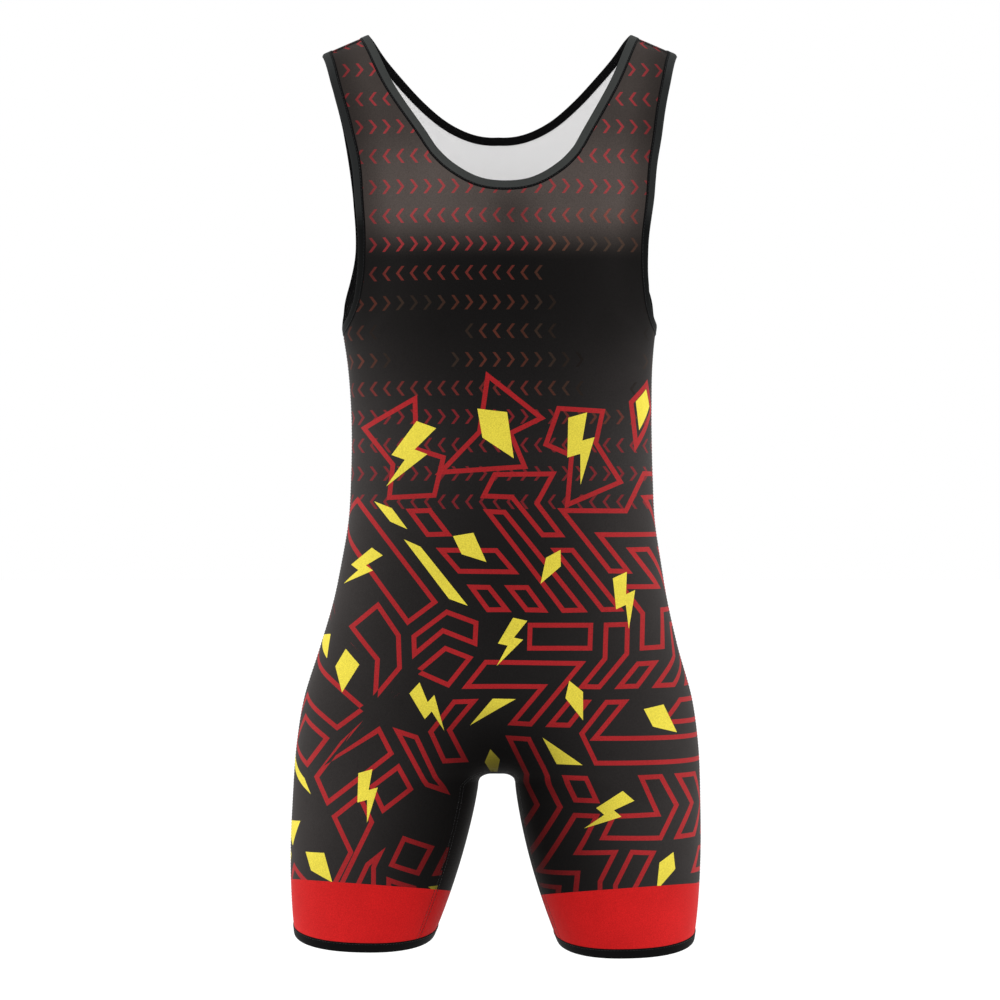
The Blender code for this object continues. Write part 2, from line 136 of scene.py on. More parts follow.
def smooth(at, knots, values, row):
    """A smooth curve through values at knots, read at places just past the knots in row."""
    slopes = np.gradient(values, knots, axis=0)
    step = knots[row + 1] - knots[row]
    t = (at - knots[row]) / step
    if values.ndim > 1:
        step, t = step[:, None], t[:, None]
    return (
        (2 * t**3 - 3 * t**2 + 1) * values[row]
        + (t**3 - 2 * t**2 + t) * step * slopes[row]
        + (3 * t**2 - 2 * t**3) * values[row + 1]
        + (t**3 - t**2) * step * slopes[row + 1]
    )


def section(name, z):
    """A size from SECTIONS at any z, on a smooth curve through the rows."""
    heights = SECTIONS["z"]
    z = np.clip(z, heights[0], heights[-1])
    row = np.clip(np.searchsorted(heights, z) - 1, 0, len(heights) - 2)
    return smooth(z, heights, SECTIONS[name], row)


def half_gap(z):
    below = GAP_BLEND * np.logaddexp(0, (CROTCH_CORNER_Z - z) / GAP_BLEND)
    return GAP_HALF_TOP + GAP_SLOPE * below + GAP_FLARE * below**2


def lift(rise):
    """Height above the crotch as a distance from the gap, which counts for less far up."""
    above = np.maximum(rise, 0)
    bend = (LIFT_NEAR - LIFT_FAR) * LIFT_REACH * (1 - np.exp(-above / LIFT_REACH))
    return np.where(rise < 0, LIFT_NEAR * rise, LIFT_FAR * above + bend)


def unlift(distance):
    rises = np.linspace(-2 * GAP_CORNER, 8 * GAP_CORNER, 400)
    return np.interp(distance, lift(rises), rises)


def distance_to_gap(x, z):
    across = np.abs(x) - half_gap(z) + GAP_CORNER
    up = lift(z - CROTCH_Z) + GAP_CORNER
    outside = np.hypot(np.maximum(across, 0), np.maximum(up, 0))
    return np.where((across < 0) & (up < 0), np.maximum(across, up), outside) - GAP_CORNER


def place_across(x, z):
    """-1 at the inner leg, 0 where the section stands out most and 1 at the side seam."""
    outer = section("half_width", z) - np.abs(x)
    far_side = section("half_width", z) + np.abs(x)
    gap = distance_to_gap(x, z)
    inner = gap * (1 + (gap / far_side) ** 4) ** -0.25
    return (inner - outer) / (inner + outer)


def dome_at(x, z):
    """How far the section stands out at x: 0 at the side seam and inner leg, 1 between."""
    across = np.abs(place_across(x, z))
    return np.maximum(1 - across**SQUARENESS, 0) ** (1 / SQUARENESS)


def z_at(x, height):
    ridge = RIDGE_NECK_Z - RIDGE_SLOPE * (np.abs(x) - RIDGE_NECK_X)
    rolled = ROLL_START + (ridge - ROLL_START) * np.sin(np.maximum(height, 0) / ROLL_RADIUS)
    return np.where(height < 0, ROLL_START + height, rolled)


def depth_at(z, angle, face):
    own = section("front" if face == FRONT else "back", z)
    shared = (section("front", z) + section("back", z)) / 2
    t = np.clip(angle / SEAM_ANGLE, 0, 1)
    return own + (shared - own) * t**2 * (3 - 2 * t)


def sideways(y, z):
    """How far the lean and the turn of the body move the cloth sideways."""
    return section("lean", z) - section("turn", z) * y


def cloth(x, height, face):
    """Points of the cloth's outer surface, for x above 0."""
    x, height = np.asarray(x, float), np.asarray(height, float)
    z = z_at(x, height)
    angle = np.maximum(height, 0) / ROLL_RADIUS
    y = face * depth_at(z, angle, face) * dome_at(x, z) * np.cos(angle)
    return np.stack([x + sideways(y, z), y, z], axis=-1)


def slope(function, step=0.05):
    return (function(step) - function(-step)) / (2 * step)


def outward(x, height, face):
    """The cloth's unit normals, away from the body."""
    x, height = np.asarray(x, float), np.asarray(height, float)
    by_x = slope(lambda t: cloth(x + t, height, face))
    by_height = slope(lambda t: cloth(x, height + t, face))
    rolled = np.cross(by_x, by_height) * -face
    z = z_at(x, height)
    across = place_across(x, z)
    depth = depth_at(z, 0, face)
    y = cloth(x, height, face)[..., 1]
    bulge = np.abs(y) / depth
    power = SQUARENESS - 1
    pull = np.sign(across) * np.abs(across) ** power
    by_z = pull * slope(lambda t: place_across(x, z + t))
    by_z = by_z - bulge**SQUARENESS / depth * slope(lambda t: depth_at(z + t, 0, face))
    by_x = pull * slope(lambda t: place_across(x + t, z))
    by_z = by_z - by_x * slope(lambda t: sideways(y, z + t))
    by_y = face * bulge**power / depth + by_x * section("turn", z)
    plain = np.stack([by_x, by_y, by_z], axis=-1)
    found = np.where((height < 0)[..., None], plain, rolled)
    return found / np.linalg.norm(found, axis=-1, keepdims=True)


def surface(pairs, face, side):
    """Points and normals of the cloth at (x, height) pairs on one side."""
    return mirror(cloth(*pairs.T, face), outward(*pairs.T, face), side)


def mirror(points, normals, side):
    """Points and normals made for +X, mirrored to this side. Lean and turn stay as they are."""
    if side == RIGHT:
        return points.copy(), normals.copy()
    x, y, z = np.moveaxis(points, -1, 0)
    out_x, out_y, out_z = np.moveaxis(normals, -1, 0)
    out_y = out_y - 2 * section("turn", z) * out_x
    out_z = out_z + 2 * slope(lambda t: sideways(y, z + t)) * out_x
    out = np.stack([-out_x, out_y, out_z], axis=-1)
    out = out / np.linalg.norm(out, axis=-1, keepdims=True)
    return np.stack([2 * sideways(y, z) - x, y, z], axis=-1), out


def x_round_section(degrees, height):
    reach = np.cos(np.radians(np.abs(degrees))) ** (2 / SQUARENESS)
    x = np.full_like(np.asarray(height, float), RIDGE_NECK_X)
    for _ in range(6):
        x = section("half_width", z_at(x, height)) * reach
    return x


# ------------------------------------------------------------ edges and seams of the cut

TUCK = 8.4  # how far inside a free edge the panels end, inside the folded binding
BAND_OUTER = {LEFT: -834.0, RIGHT: -838.0}
BAND_INNER_DROP = 12.0
BAND_RISE = {FRONT: 10.0, BACK: 6.0}
NECK_POINTS, ARM_POINTS, NECK_TAPE_POINTS = 72, 84, 80  # points along half an edge
CURVE_POINTS = 400


def smooth_through(points, count):
    """A smooth curve through points, mirrored in the first axis at its first one."""
    points = np.array(points, float)
    chain = np.vstack([points[1] * (-1, 1), points])
    along = length_along(chain)
    at = np.linspace(along[1], along[-1], count)
    row = np.clip(np.searchsorted(along, at) - 1, 1, len(along) - 2)
    return smooth(at, along, chain, row)


def length_along(points):
    return np.concatenate([[0], np.cumsum(np.linalg.norm(np.diff(points, axis=0), axis=1))])


def evenly(pairs, points, count):
    along = length_along(points)
    at = np.linspace(0, along[-1], count)
    return np.stack([np.interp(at, along, pairs[:, k]) for k in range(pairs.shape[1])], axis=1)


def inset(pairs, place, width):
    """The pairs moved width mm into the cloth, square to their curve on the cloth."""
    along = np.gradient(pairs, axis=0)
    along[0] = (1, 0)
    by_u = slope(lambda t: place(pairs[:, 0] + t, pairs[:, 1]))
    by_v = slope(lambda t: place(pairs[:, 0], pairs[:, 1] + t))
    uu, uv, vv = (by_u * by_u).sum(1), (by_u * by_v).sum(1), (by_v * by_v).sum(1)
    side_u, side_v = along[:, 1], -along[:, 0]
    area = uu * vv - uv**2
    move_u = (vv * side_u - uv * side_v) / area
    move_v = (uu * side_v - uv * side_u) / area
    length = np.sqrt(uu * move_u**2 + 2 * uv * move_u * move_v + vv * move_v**2)
    return pairs + width * np.stack([move_u / length, move_v / length], axis=1)


def neck_line(face, width, count):
    """(x, height) along the neckline, from the middle, width mm inside its free edge."""

    def at(x, height):
        return cloth(x, height, face)

    dense = smooth_through(NECK_EDGE[face], CURVE_POINTS)
    line = inset(evenly(dense, at(*dense.T), count), at, width)
    line[-1, 1] = SEAM_HEIGHT[face]
    return line


def arm_line(face, width, count):
    """(x, height) along the armhole, from the underarm, width mm inside its free edge."""

    def at(degrees, height):
        x = x_round_section(degrees, height)
        ahead, behind = cloth(x, height, FRONT), cloth(x, height, BACK)
        own, other = (ahead, behind) if face == FRONT else (behind, ahead)
        return np.where((degrees < 0)[:, None], other, own)

    dense = smooth_through(ARM_EDGE[face], CURVE_POINTS)
    line = inset(evenly(dense, at(*dense.T), count), at, width)
    line[-1, 1] = SEAM_HEIGHT[face]
    return np.stack([x_round_section(*line.T), line[:, 1]], axis=1)


def leg_place(across, row, side, face, width=TUCK):
    """(x, height) in a leg. across is 0 at the inner leg and 1 at the side seam; row is 0 on
    the line width mm above the free edge, 1 at the band's top and 2 level with the crotch."""
    across = np.asarray(across, float)
    bulge = np.maximum(1 - np.abs(2 * across - 1) ** SQUARENESS, 0) ** (1 / SQUARENESS)
    dip = HEM_DIP[face] * bulge
    hem = HEM_OUTER[side] - HEM_INNER_DROP * (1 - across) + dip + width
    band = BAND_OUTER[side] - BAND_INNER_DROP * (1 - across) + BAND_RISE[face] * bulge
    lower = hem + (band - hem) * np.minimum(row, 1)
    z = lower + (CROTCH_CORNER_Z - band) * np.clip(row - 1, 0, 1)
    x = half_gap(z) + across * (section("half_width", z) - half_gap(z))
    return np.stack([x, z - ROLL_START], axis=-1)


def across_of(side, face, row, reach, width=TUCK):
    """The share of the way across a leg that is reach mm from its inner edge."""
    across = 0.0
    for _ in range(10):
        z = leg_place(across, row, side, face, width)[..., 1] + ROLL_START
        across = reach / (section("half_width", z) - half_gap(z))
    return across


def inner_leg(side, face, column, reach, width=TUCK):
    """(x, height) up the inner leg and over the crotch, reach mm from the gap. column is 0 at
    the hem, 1 at the band's top, 2 at the crotch's corner, 3 on its arch and 4 in the middle."""
    column, reach = np.broadcast_arrays(np.asarray(column, float), np.asarray(reach, float))
    row = np.minimum(column, 2)
    leg = leg_place(across_of(side, face, row, reach, width), row, side, face, width)
    turn = math.radians(90) * np.clip(column - 2, 0, 1)
    flat = half_gap(CROTCH_Z) - GAP_CORNER
    rise = unlift((reach + GAP_CORNER) * np.sin(turn) - GAP_CORNER)
    x = (flat + (reach + GAP_CORNER) * np.cos(turn)) * np.clip(4 - column, 0, 1)
    arch = np.stack([x, CROTCH_Z + rise - ROLL_START], axis=-1)
    return np.where((column > 2)[..., None], arch, leg)


def seam_reach(side, face, column):
    """How far from the gap a panel's edge lies along the inner leg."""
    if face == BACK:
        return np.full(np.shape(column), INSEAM_BACK_REACH)
    left = np.clip(3 - np.asarray(column, float), 0, 1)
    return INSEAM_CROTCH_REACH + (INSEAM_REACH[side] - INSEAM_CROTCH_REACH) * left**2


# ------------------------------------------------------------------ the print's plane

PRINT_TURN = 0.6  # least share of the cloth's own length that u and v advance by
INNER_TURN = 0.3  # the same for u towards the inner leg
INNER_SPREAD = 60.0
BY_SEAM = 0.02  # mm from the side seam that count as on it
ROUND_FROM = math.radians(50)  # nearer the side than this, depth is read from the angle
TABLE_Z = np.arange(-912.0, 24.0, 3.0)
TABLE_PHI = np.radians(np.linspace(-90, 90, 181))


def print_table():
    """The angle round the section from its crown, x and u, over TABLE_Z and TABLE_PHI."""
    z, phi = np.meshgrid(TABLE_Z, TABLE_PHI, indexing="ij")
    wanted = np.sign(phi) * np.abs(np.sin(phi)) ** (2 / SQUARENESS)
    low, high = np.zeros(z.shape), section("half_width", z)
    for _ in range(45):
        middle = (low + high) / 2
        beyond = place_across(middle, z) > wanted
        high = np.where(beyond, middle, high)
        low = np.where(beyond, low, middle)
    x = (low + high) / 2
    x[:, -1] = section("half_width", TABLE_Z)
    at_middle = place_across(np.zeros(len(TABLE_Z)), TABLE_Z)
    start = np.arcsin(np.clip(np.sign(at_middle) * np.abs(at_middle) ** (SQUARENESS / 2), -1, 1))
    phi = np.maximum(phi, start[:, None])
    depth = (section("front", z) + section("back", z)) / 2
    y = depth * np.abs(np.cos(phi)) ** (2 / SQUARENESS)
    dx, dy = np.diff(x, axis=1), np.diff(y, axis=1)
    share = np.where(TABLE_PHI[1:] > 0, PRINT_TURN, INNER_TURN)
    step = np.maximum(dx, share * np.hypot(dx, dy))
    u = np.concatenate([np.zeros((len(TABLE_Z), 1)), np.cumsum(step, axis=1)], axis=1)
    crown = len(TABLE_PHI) // 2
    u += (x - u)[:, crown : crown + 1]
    inward = x - x[:, :1]
    return phi, x, u + (x - u)[:, :1] * np.maximum(1 - inward / INNER_SPREAD, 0)


PHI_TABLE, X_TABLE, U_TABLE = print_table()


def table_rows(table, z):
    """The table's rows at any z."""
    at = np.clip((z - TABLE_Z[0]) / (TABLE_Z[1] - TABLE_Z[0]), 0, len(TABLE_Z) - 1.001)
    row = at.astype(int)
    t = (at - row)[:, None]
    return table[row] * (1 - t) + table[row + 1] * t


def look_up(rows, value):
    """Where each row reaches value, as a fractional index."""
    count = np.clip((rows <= value[:, None]).sum(axis=1), 1, rows.shape[1] - 1)
    index = np.arange(len(rows))
    low, high = rows[index, count - 1], rows[index, count]
    t = np.clip((value - low) / np.maximum(high - low, 1e-9), 0, 1)
    return count - 1 + t


def read_at(rows, at):
    low = np.clip(at.astype(int), 0, rows.shape[1] - 2)
    index = np.arange(len(rows))
    t = at - low
    return rows[index, low] * (1 - t) + rows[index, low + 1] * t


def tipping(x):
    """How much the roll is stretched at x, and the angle where the cloth tips too far."""
    stretch = (z_at(x, math.pi / 2 * ROLL_RADIUS) - ROLL_START) / ROLL_RADIUS
    return stretch, np.arccos(PRINT_TURN / stretch)


def v_of(x, height):
    """v at a height: it is the height seen from the front, until the cloth tips too far."""
    stretch, tipped = tipping(x)
    angle = np.maximum(height, 0) / ROLL_RADIUS
    seen = stretch * np.sin(np.minimum(angle, tipped))
    rolled = ROLL_RADIUS * (seen + PRINT_TURN * np.maximum(angle - tipped, 0))
    return np.where(height < 0, height, rolled)


def height_of(x, v):
    stretch, tipped = tipping(x)
    top = ROLL_RADIUS * stretch * np.sin(tipped)
    seen = ROLL_RADIUS * np.arcsin(np.clip(v / ROLL_RADIUS / stretch, -1, 1))
    beyond = ROLL_RADIUS * tipped + (v - top) / PRINT_TURN
    return np.where(v < 0, v, np.where(v < top, seen, beyond))


def print_place(pairs, side):
    """(u, v) of (x, height) pairs."""
    x, height = pairs[:, 0], pairs[:, 1]
    z = z_at(x, height)
    at = look_up(table_rows(X_TABLE, z), x)
    at = np.where(x > section("half_width", z) - BY_SEAM, X_TABLE.shape[1] - 1.0, at)
    return np.stack([side * read_at(table_rows(U_TABLE, z), at), v_of(x, height)], axis=1)


def cloth_at(places, face):
    """Points and normals of the cloth at (u, v) places."""
    side = np.where(places[:, 0] < 0, LEFT, RIGHT)
    u, v = np.abs(places[:, 0]), places[:, 1]
    x = u.copy()
    for _ in range(5):
        height = height_of(x, v)
        z = z_at(x, height)
        at = look_up(table_rows(U_TABLE, z), u)
        x = read_at(table_rows(X_TABLE, z), at)
    phi = read_at(table_rows(PHI_TABLE, z), at)
    angle = np.maximum(height, 0) / ROLL_RADIUS
    near_side = np.maximum(np.cos(phi), 0) ** (2 / SQUARENESS)
    dome = np.where(phi > ROUND_FROM, near_side, dome_at(x, z))
    y = face * depth_at(z, angle, face) * dome * np.cos(angle)
    right = np.stack([sideways(y, z) + x, y, z], axis=1)
    out = outward(x, height, face)
    left, out_left = mirror(right, out, LEFT)
    on_left = (side == LEFT)[:, None]
    return np.where(on_left, left, right), np.where(on_left, out_left, out)


# ------------------------------------------------------------------------ the print

# Linear colours of the inks and yarns
# The smoky chest is partly a print fade and partly painted light from above, brightest on the chest
CHEST_SMOKE_AND_LIGHT = np.array([0.072, 0.0585, 0.0530])
GROUND = np.array([0.0086, 0.0078, 0.0077])
GROUND_SIDE_SHEEN = np.array([0.0320, 0.0280, 0.0268])  # added towards the side seams: painted sheen
CHEVRON_RED = np.array([0.215, 0.0120, 0.0170])
CHEVRON_RUST = np.array([0.095, 0.0270, 0.0150])
CHEVRON_ASH = np.array([0.035, 0.0210, 0.0140])
SHARD_RED = np.array([0.272, 0.0085, 0.0110])
SHARD_YELLOW = np.array([0.595, 0.500, 0.0440])
BAND_RED = np.array([0.490, 0.0060, 0.0065])
NECK_GREY = np.array([0.039, 0.0415, 0.040])
ARM_GREY = np.array([0.015, 0.016, 0.016])
BLACK = np.array([0.0030, 0.0029, 0.0031])

CHEST_V = (-62.0, -113.0)  # where the smoky chest, partly print and partly painted light, starts to fade, and where it is gone
# Levels of the ground by v: painted light and shade, darkest just under the chest
GROUND_V = (-400.0, -305.0, -215.0, -150.0)
GROUND_LIGHT_LEVEL = (1.0, 1.4, 0.85, 0.62)
SIDE_SHEEN_V = (-290.0, -180.0)  # the painted sheen on the sides is whole below these and weak above
STRAP_V = (-30.0, 28.0)  # between these it darkens towards the straps
STRAP_SHARE = 0.62
SEAM_DARK = {FRONT: 4.0, BACK: 8.0}  # how wide the black is on each side of a shoulder seam
INK_GROUND_SHARE = 0.5  # how much of the ground, with its painted light, shade and sheen, is added to an ink
# the same for the red bands, which so take on the ground's painted sheen
BAND_GROUND_SHARE = 0.3
BAND_SHADE = 0.3  # how much of the shade of the inner legs falls on the red bands
RUSTY_V = (-262.0, -215.0, -145.0, -88.0)  # rust between the middle two, red outside these

CHEVRON_FADE_V = (-128.0, -98.0)  # the chevrons are weaker below these
CHEVRON_FADE = (0.6, 1.0)
RUST_SHARE, RUST_DARK = 0.9, 0.25
INK_STOPS = (0.0, 0.35, 0.62, 0.9)  # shares at which a chevron is gone, ash, rust and red
LEAST_INK = 0.05
SIDE_INK_SHEEN = 0.22  # how much lighter the inks are at the side seams, as painted sheen
# how strong the painted side sheen is at those two v
SIDE_SHEEN_LEVEL = (1.0, 0.25)

# Shade, in mm and shares: along the armholes, up the inner legs and under the neck
ARM_SHADE, ARM_SHADE_REACH = 0.5, 32
LEG_SHADE, LEG_SHADE_REACH, LEG_SHADE_RISE = 0.86, 112, (95, 5)
NECK_SHADE, NECK_SHADE_PLACE, NECK_SHADE_SIZE = 0.42, (6, -65), (25, 22)

# Rows of chevrons: the outline of one, the first u and the pitch, and the v of each row
CHEVRON = np.array([(-4.1, 7), (1.1, 0), (-4.1, -7), (-1.2, -7), (4.1, 0), (-1.2, 7)])
CHEVRON_U = (-4.8, 13.41)
CHEVRON_COLUMNS = np.arange(-17, 18)
CHEVRON_HANG = ((-110, 0), (2.2, 0.4))  # how far aside the columns hang, by z
CHEVRON_V = (
    141.0, 112.0, 79.0, 47.9, 19.4, -10.1, -40.4, -68.9, -96.5,
    -124.8, -153.5, -181.1, -208.7, -236.3, -263.9, -291.5, -319.1, -346.7,
)

# Clearings where the chevrons fade out, as ellipses: u and v of the centre, the two
# radii, and the shares of the radii where they are gone and where they are whole
CLEARINGS = {
    FRONT: [
        (-81, -185, 60, 39, 0.70, 1.15),
        (100, -168, 73, 82, 0.55, 1.50),
        (86, -131, 52, 24, 0.95, 1.05),
        (105, -221, 58, 31, 0.60, 1.30),
    ],
    BACK: [
        (-70, -170, 66, 44, 0.60, 1.25),
        (88, -205, 70, 40, 0.60, 1.30),
    ],
}

# The shards: groups of squares in a field of zigzag lines, with a red outline in each
PITCH = 37.0
CORRIDOR = 5.2
STROKE = 4.6
SHARD_SEED = {FRONT: 23, BACK: 27}
SHARD_FIELD = np.array([(-260.0, -800.0), (260.0, -230.0)])
RUN_LENGTHS = [2, 2, 3]  # lines that a zigzag keeps one way for
ASIDE_STEPS, ASIDE_REACH = [0.0, 0.5, 0.8, 1.0], 1.4  # in pitches, as the next three are
RISE_STEPS, RISE_REACH = [0.0, 0.4, 0.8], 1.1
UNEVENNESS, CLEARANCE = 0.035, 0.1
GROUP_STEPS = [0, 1, 1, 2, 3, 4, 5]
TURN_WEIGHTS = ((0, 4), (1, 2), (3, 2))  # quarter turns and how likely each is
YELLOW_SHARE = 0.3
TOP_SLACK = 12
SHORTEST_SIDE = 1.5
SHARPEST_MITRE = 0.08
SHARD_TOP = {
    FRONT: [
        (-240, -282), (-120, -300), (-60, -330), (20, -322), (70, -330), (120, -282),
        (240, -280),
    ],
    BACK: [(-240, -285), (-110, -290), (-30, -322), (60, -318), (140, -295), (240, -280)],
}

# The bands' shapes run this far past the side seam and the inner leg, and down to this v
BAND_BEYOND = (20, 8)
BAND_LOW = -830.0

# Unit motifs, one high
BOLT = [
    (-0.05, 0.5), (-0.22, -0.06), (-0.02, -0.06), (-0.14, -0.5), (0.25, 0.12), (0.06, 0.12),
    (0.24, 0.5),
]
KITE = [(0, 0.5), (-0.22, 0.14), (0, -0.5), (0.22, 0.14)]
SPLINTER = [(-0.16, 0.5), (-0.26, 0.02), (0.1, -0.5), (0.28, 0.26)]
NOTCHED = [
    (-0.34, 0.42), (-0.2, -0.04), (-0.36, -0.34), (0.1, -0.5), (0.34, -0.16), (0.12, 0.02),
    (0.3, 0.5),
]
PENNANT = [(-0.3, 0.5), (-0.16, 0.0), (-0.34, -0.5), (0.38, -0.12), (0.14, 0.1), (0.34, 0.34)]

# Large ones over the top of the shards: outline, its place, height and turn in degrees,
# then the yellow motif in it with its own height and turn
FEATURES = {
    FRONT: [
        (NOTCHED, -92, -300, 100, 22, BOLT, 70, -20),
        (PENNANT, -8, -285, 112, -24, SPLINTER, 58, 22),
        (NOTCHED, 76, -298, 98, 196, BOLT, 66, 16),
        (KITE, 138, -262, 74, -12, KITE, 42, -12),
    ],
    BACK: [
        (PENNANT, -80, -268, 112, 18, BOLT, 60, 14),
        (NOTCHED, 20, -292, 108, -20, KITE, 58, -34),
        (KITE, 106, -276, 96, 22, SPLINTER, 50, 22),
    ],
}

# Yellow motifs that stand loose among the shards: outline, place, height and turn
LOOSE = {
    FRONT: [
        (BOLT, -138, -412, 46, -34), (SPLINTER, -30, -392, 40, 38), (KITE, 48, -410, 38, -30),
        (BOLT, 122, -444, 52, 24), (BOLT, 10, -484, 49, -12), (SPLINTER, -150, -512, 41, -18),
        (BOLT, -66, -548, 50, 48), (KITE, 76, -540, 41, 20), (SPLINTER, 160, -560, 40, 40),
        (BOLT, -126, -634, 49, 16), (BOLT, 108, -650, 52, -40), (KITE, -4, -606, 34, 10),
        (SPLINTER, -172, -704, 38, 30), (KITE, 166, -708, 40, -24),
    ],
    BACK: [
        (BOLT, -110, -390, 50, 26), (KITE, -20, -410, 41, -40), (SPLINTER, 80, -380, 43, 24),
        (KITE, 136, -456, 40, 12), (BOLT, 26, -482, 52, -30), (SPLINTER, -80, -500, 41, -20),
        (BOLT, -154, -560, 49, 10), (KITE, -24, -568, 41, 34), (BOLT, 88, -580, 50, 40),
        (KITE, -104, -660, 40, -16), (BOLT, 134, -672, 49, 14), (SPLINTER, -170, -722, 40, 18),
    ],
}


def placed(motif, u, v, height, degrees):
    turn = math.radians(degrees)
    across, up = np.array(motif, float).T * height
    return np.stack(
        [
            u + across * math.cos(turn) - up * math.sin(turn),
            v + across * math.sin(turn) + up * math.cos(turn),
        ],
        axis=1,
    )


def inside(points, polygon):
    """Which points lie in the polygon, by the sides that a ray to their right crosses."""
    x, y = points[:, 0], points[:, 1]
    found = np.zeros(len(points), bool)
    for (ax, ay), (bx, by) in zip(polygon, np.roll(polygon, -1, axis=0)):
        if ay != by:
            crosses = (ay > y) != (by > y)
            found ^= crosses & (x < ax + (y - ay) / (by - ay) * (bx - ax))
    return found


def area_of(polygon):
    x, y = polygon.T
    return 0.5 * np.sum(x * np.roll(y, -1) - y * np.roll(x, -1))


def moved_in(polygon, distance):
    """An anticlockwise polygon with its sides moved inward, or None if one would vanish."""
    ahead = np.roll(polygon, -1, axis=0) - polygon
    ahead = ahead / np.linalg.norm(ahead, axis=1)[:, None]
    inward = np.stack([-ahead[:, 1], ahead[:, 0]], axis=1)
    before = np.roll(inward, 1, axis=0)
    mitre = (inward + before) / np.maximum(1 + (inward * before).sum(1), SHARPEST_MITRE)[:, None]
    moved = polygon + distance * mitre
    sides = np.roll(moved, -1, axis=0) - moved
    return None if ((sides * ahead).sum(1) < SHORTEST_SIDE).any() else moved


def distance_to_loop(points, loop):
    """How far each point is from a closed loop, in bands to spare memory."""
    starts, sides = loop, np.roll(loop, -1, axis=0) - loop
    square = np.maximum((sides**2).sum(1), 1e-9)
    found = np.empty(len(points))
    for first in range(0, len(points), 2000):
        part = points[first : first + 2000, None]
        t = np.clip(((part - starts) * sides).sum(2) / square, 0, 1)
        gap = part - starts - t[..., None] * sides
        found[first : first + 2000] = np.sqrt((gap**2).sum(2)).min(axis=1)
    return found


def zigzag(random, count, slopes, reach):
    """Steps aside from line to line, straight for two to four lines and then back."""
    found, value, way = [], 0.0, 1
    while len(found) < count:
        step = random.choice(slopes) * PITCH
        for _ in range(int(random.choice(RUN_LENGTHS))):
            found.append(value)
            value += way * step
            if abs(value) > reach:
                break
        way = -1 if value > 0 else 1
    return np.array(found[:count])


def cells(random, low, high, kept_clear):
    """Anticlockwise groups of one to six squares of a zigzag lattice, with their sizes. They
    fill a field but for the squares that any of the polygons in kept_clear touches."""
    columns = int((high[0] - low[0]) / PITCH) + 4
    rows = int((high[1] - low[1]) / PITCH) + 4
    aside = zigzag(random, rows + 1, ASIDE_STEPS, ASIDE_REACH * PITCH)
    rise = zigzag(random, columns + 1, RISE_STEPS, RISE_REACH * PITCH)
    i, j = np.meshgrid(np.arange(columns + 1), np.arange(rows + 1), indexing="ij")
    u = low[0] + (i - 2) * PITCH + aside[j]
    v = low[1] + (j - 2) * PITCH + rise[i]
    points = np.stack([u, v], axis=-1)
    points += random.uniform(-UNEVENNESS, UNEVENNESS, points.shape) * PITCH
    squares = np.stack([points[:-1, :-1], points[1:, :-1], points[1:, 1:], points[:-1, 1:]], axis=2)
    middles = squares.mean(axis=2).reshape(-1, 2)
    taken = np.zeros(columns * rows, bool)
    for polygon in kept_clear:
        near = distance_to_loop(middles, polygon) < CLEARANCE * PITCH
        taken |= inside(middles, polygon) | near
    free = ~taken.reshape(columns, rows)
    found = []
    for number in random.permutation(columns * rows):
        at = np.array(divmod(int(number), rows))
        if not free[tuple(at)]:
            continue
        free[tuple(at)] = False
        group = [tuple(at)]
        way = int(random.integers(4))
        for _ in range(int(random.choice(GROUP_STEPS))):
            choices = []
            for turn, weight in TURN_WEIGHTS:
                step = [(1, 0), (0, 1), (-1, 0), (0, -1)][(way + turn) % 4]
                spot = (group[-1][0] + step[0], group[-1][1] + step[1])
                if 0 <= spot[0] < columns and 0 <= spot[1] < rows and free[spot]:
                    choices += [((way + turn) % 4, spot)] * weight
            if not choices:
                break
            way, spot = choices[int(random.integers(len(choices)))]
            free[spot] = False
            group.append(spot)
        found.append((border_of(group, points), len(group)))
    return found


def border_of(group, points):
    """The anticlockwise border of a group of squares, as one loop of lattice points."""
    ahead = {}
    for a, b in group:
        corners = [(a, b), (a + 1, b), (a + 1, b + 1), (a, b + 1)]
        for start, end in zip(corners, corners[1:] + corners[:1]):
            if ahead.get(end) and start in ahead[end]:
                ahead[end].remove(start)
            else:
                ahead.setdefault(start, []).append(end)
    first = next(key for key, ends in ahead.items() if ends)
    loop, at, before = [], first, None
    while True:
        loop.append(at)
        ends = ahead[at]
        if len(ends) > 1 and before is not None:
            way = np.array(at) - before
            ends.sort(key=lambda e: way[0] * (e[1] - at[1]) - way[1] * (e[0] - at[0]))
        before, at = np.array(at), ends.pop()
        if at == first:
            break
    polygon = np.array([points[spot] for spot in loop])
    return polygon if area_of(polygon) > 0 else polygon[::-1]


def straightened(polygon, degrees=8):
    """The polygon without its corners that hardly turn."""
    back = polygon - np.roll(polygon, 1, axis=0)
    ahead = np.roll(polygon, -1, axis=0) - polygon
    turn = np.arctan2(back[:, 0] * ahead[:, 1] - back[:, 1] * ahead[:, 0], (back * ahead).sum(1))
    kept = np.abs(np.degrees(turn)) > degrees
    return polygon[kept] if kept.sum() >= 3 else polygon


def ring(polygon, gap):
    """An outline inside a cell: its outer and inner loop, or None where it has no room."""
    outer = moved_in(polygon, gap)
    if outer is None:
        return None
    inner = moved_in(polygon, gap + STROKE)
    return None if inner is None else (outer, inner)


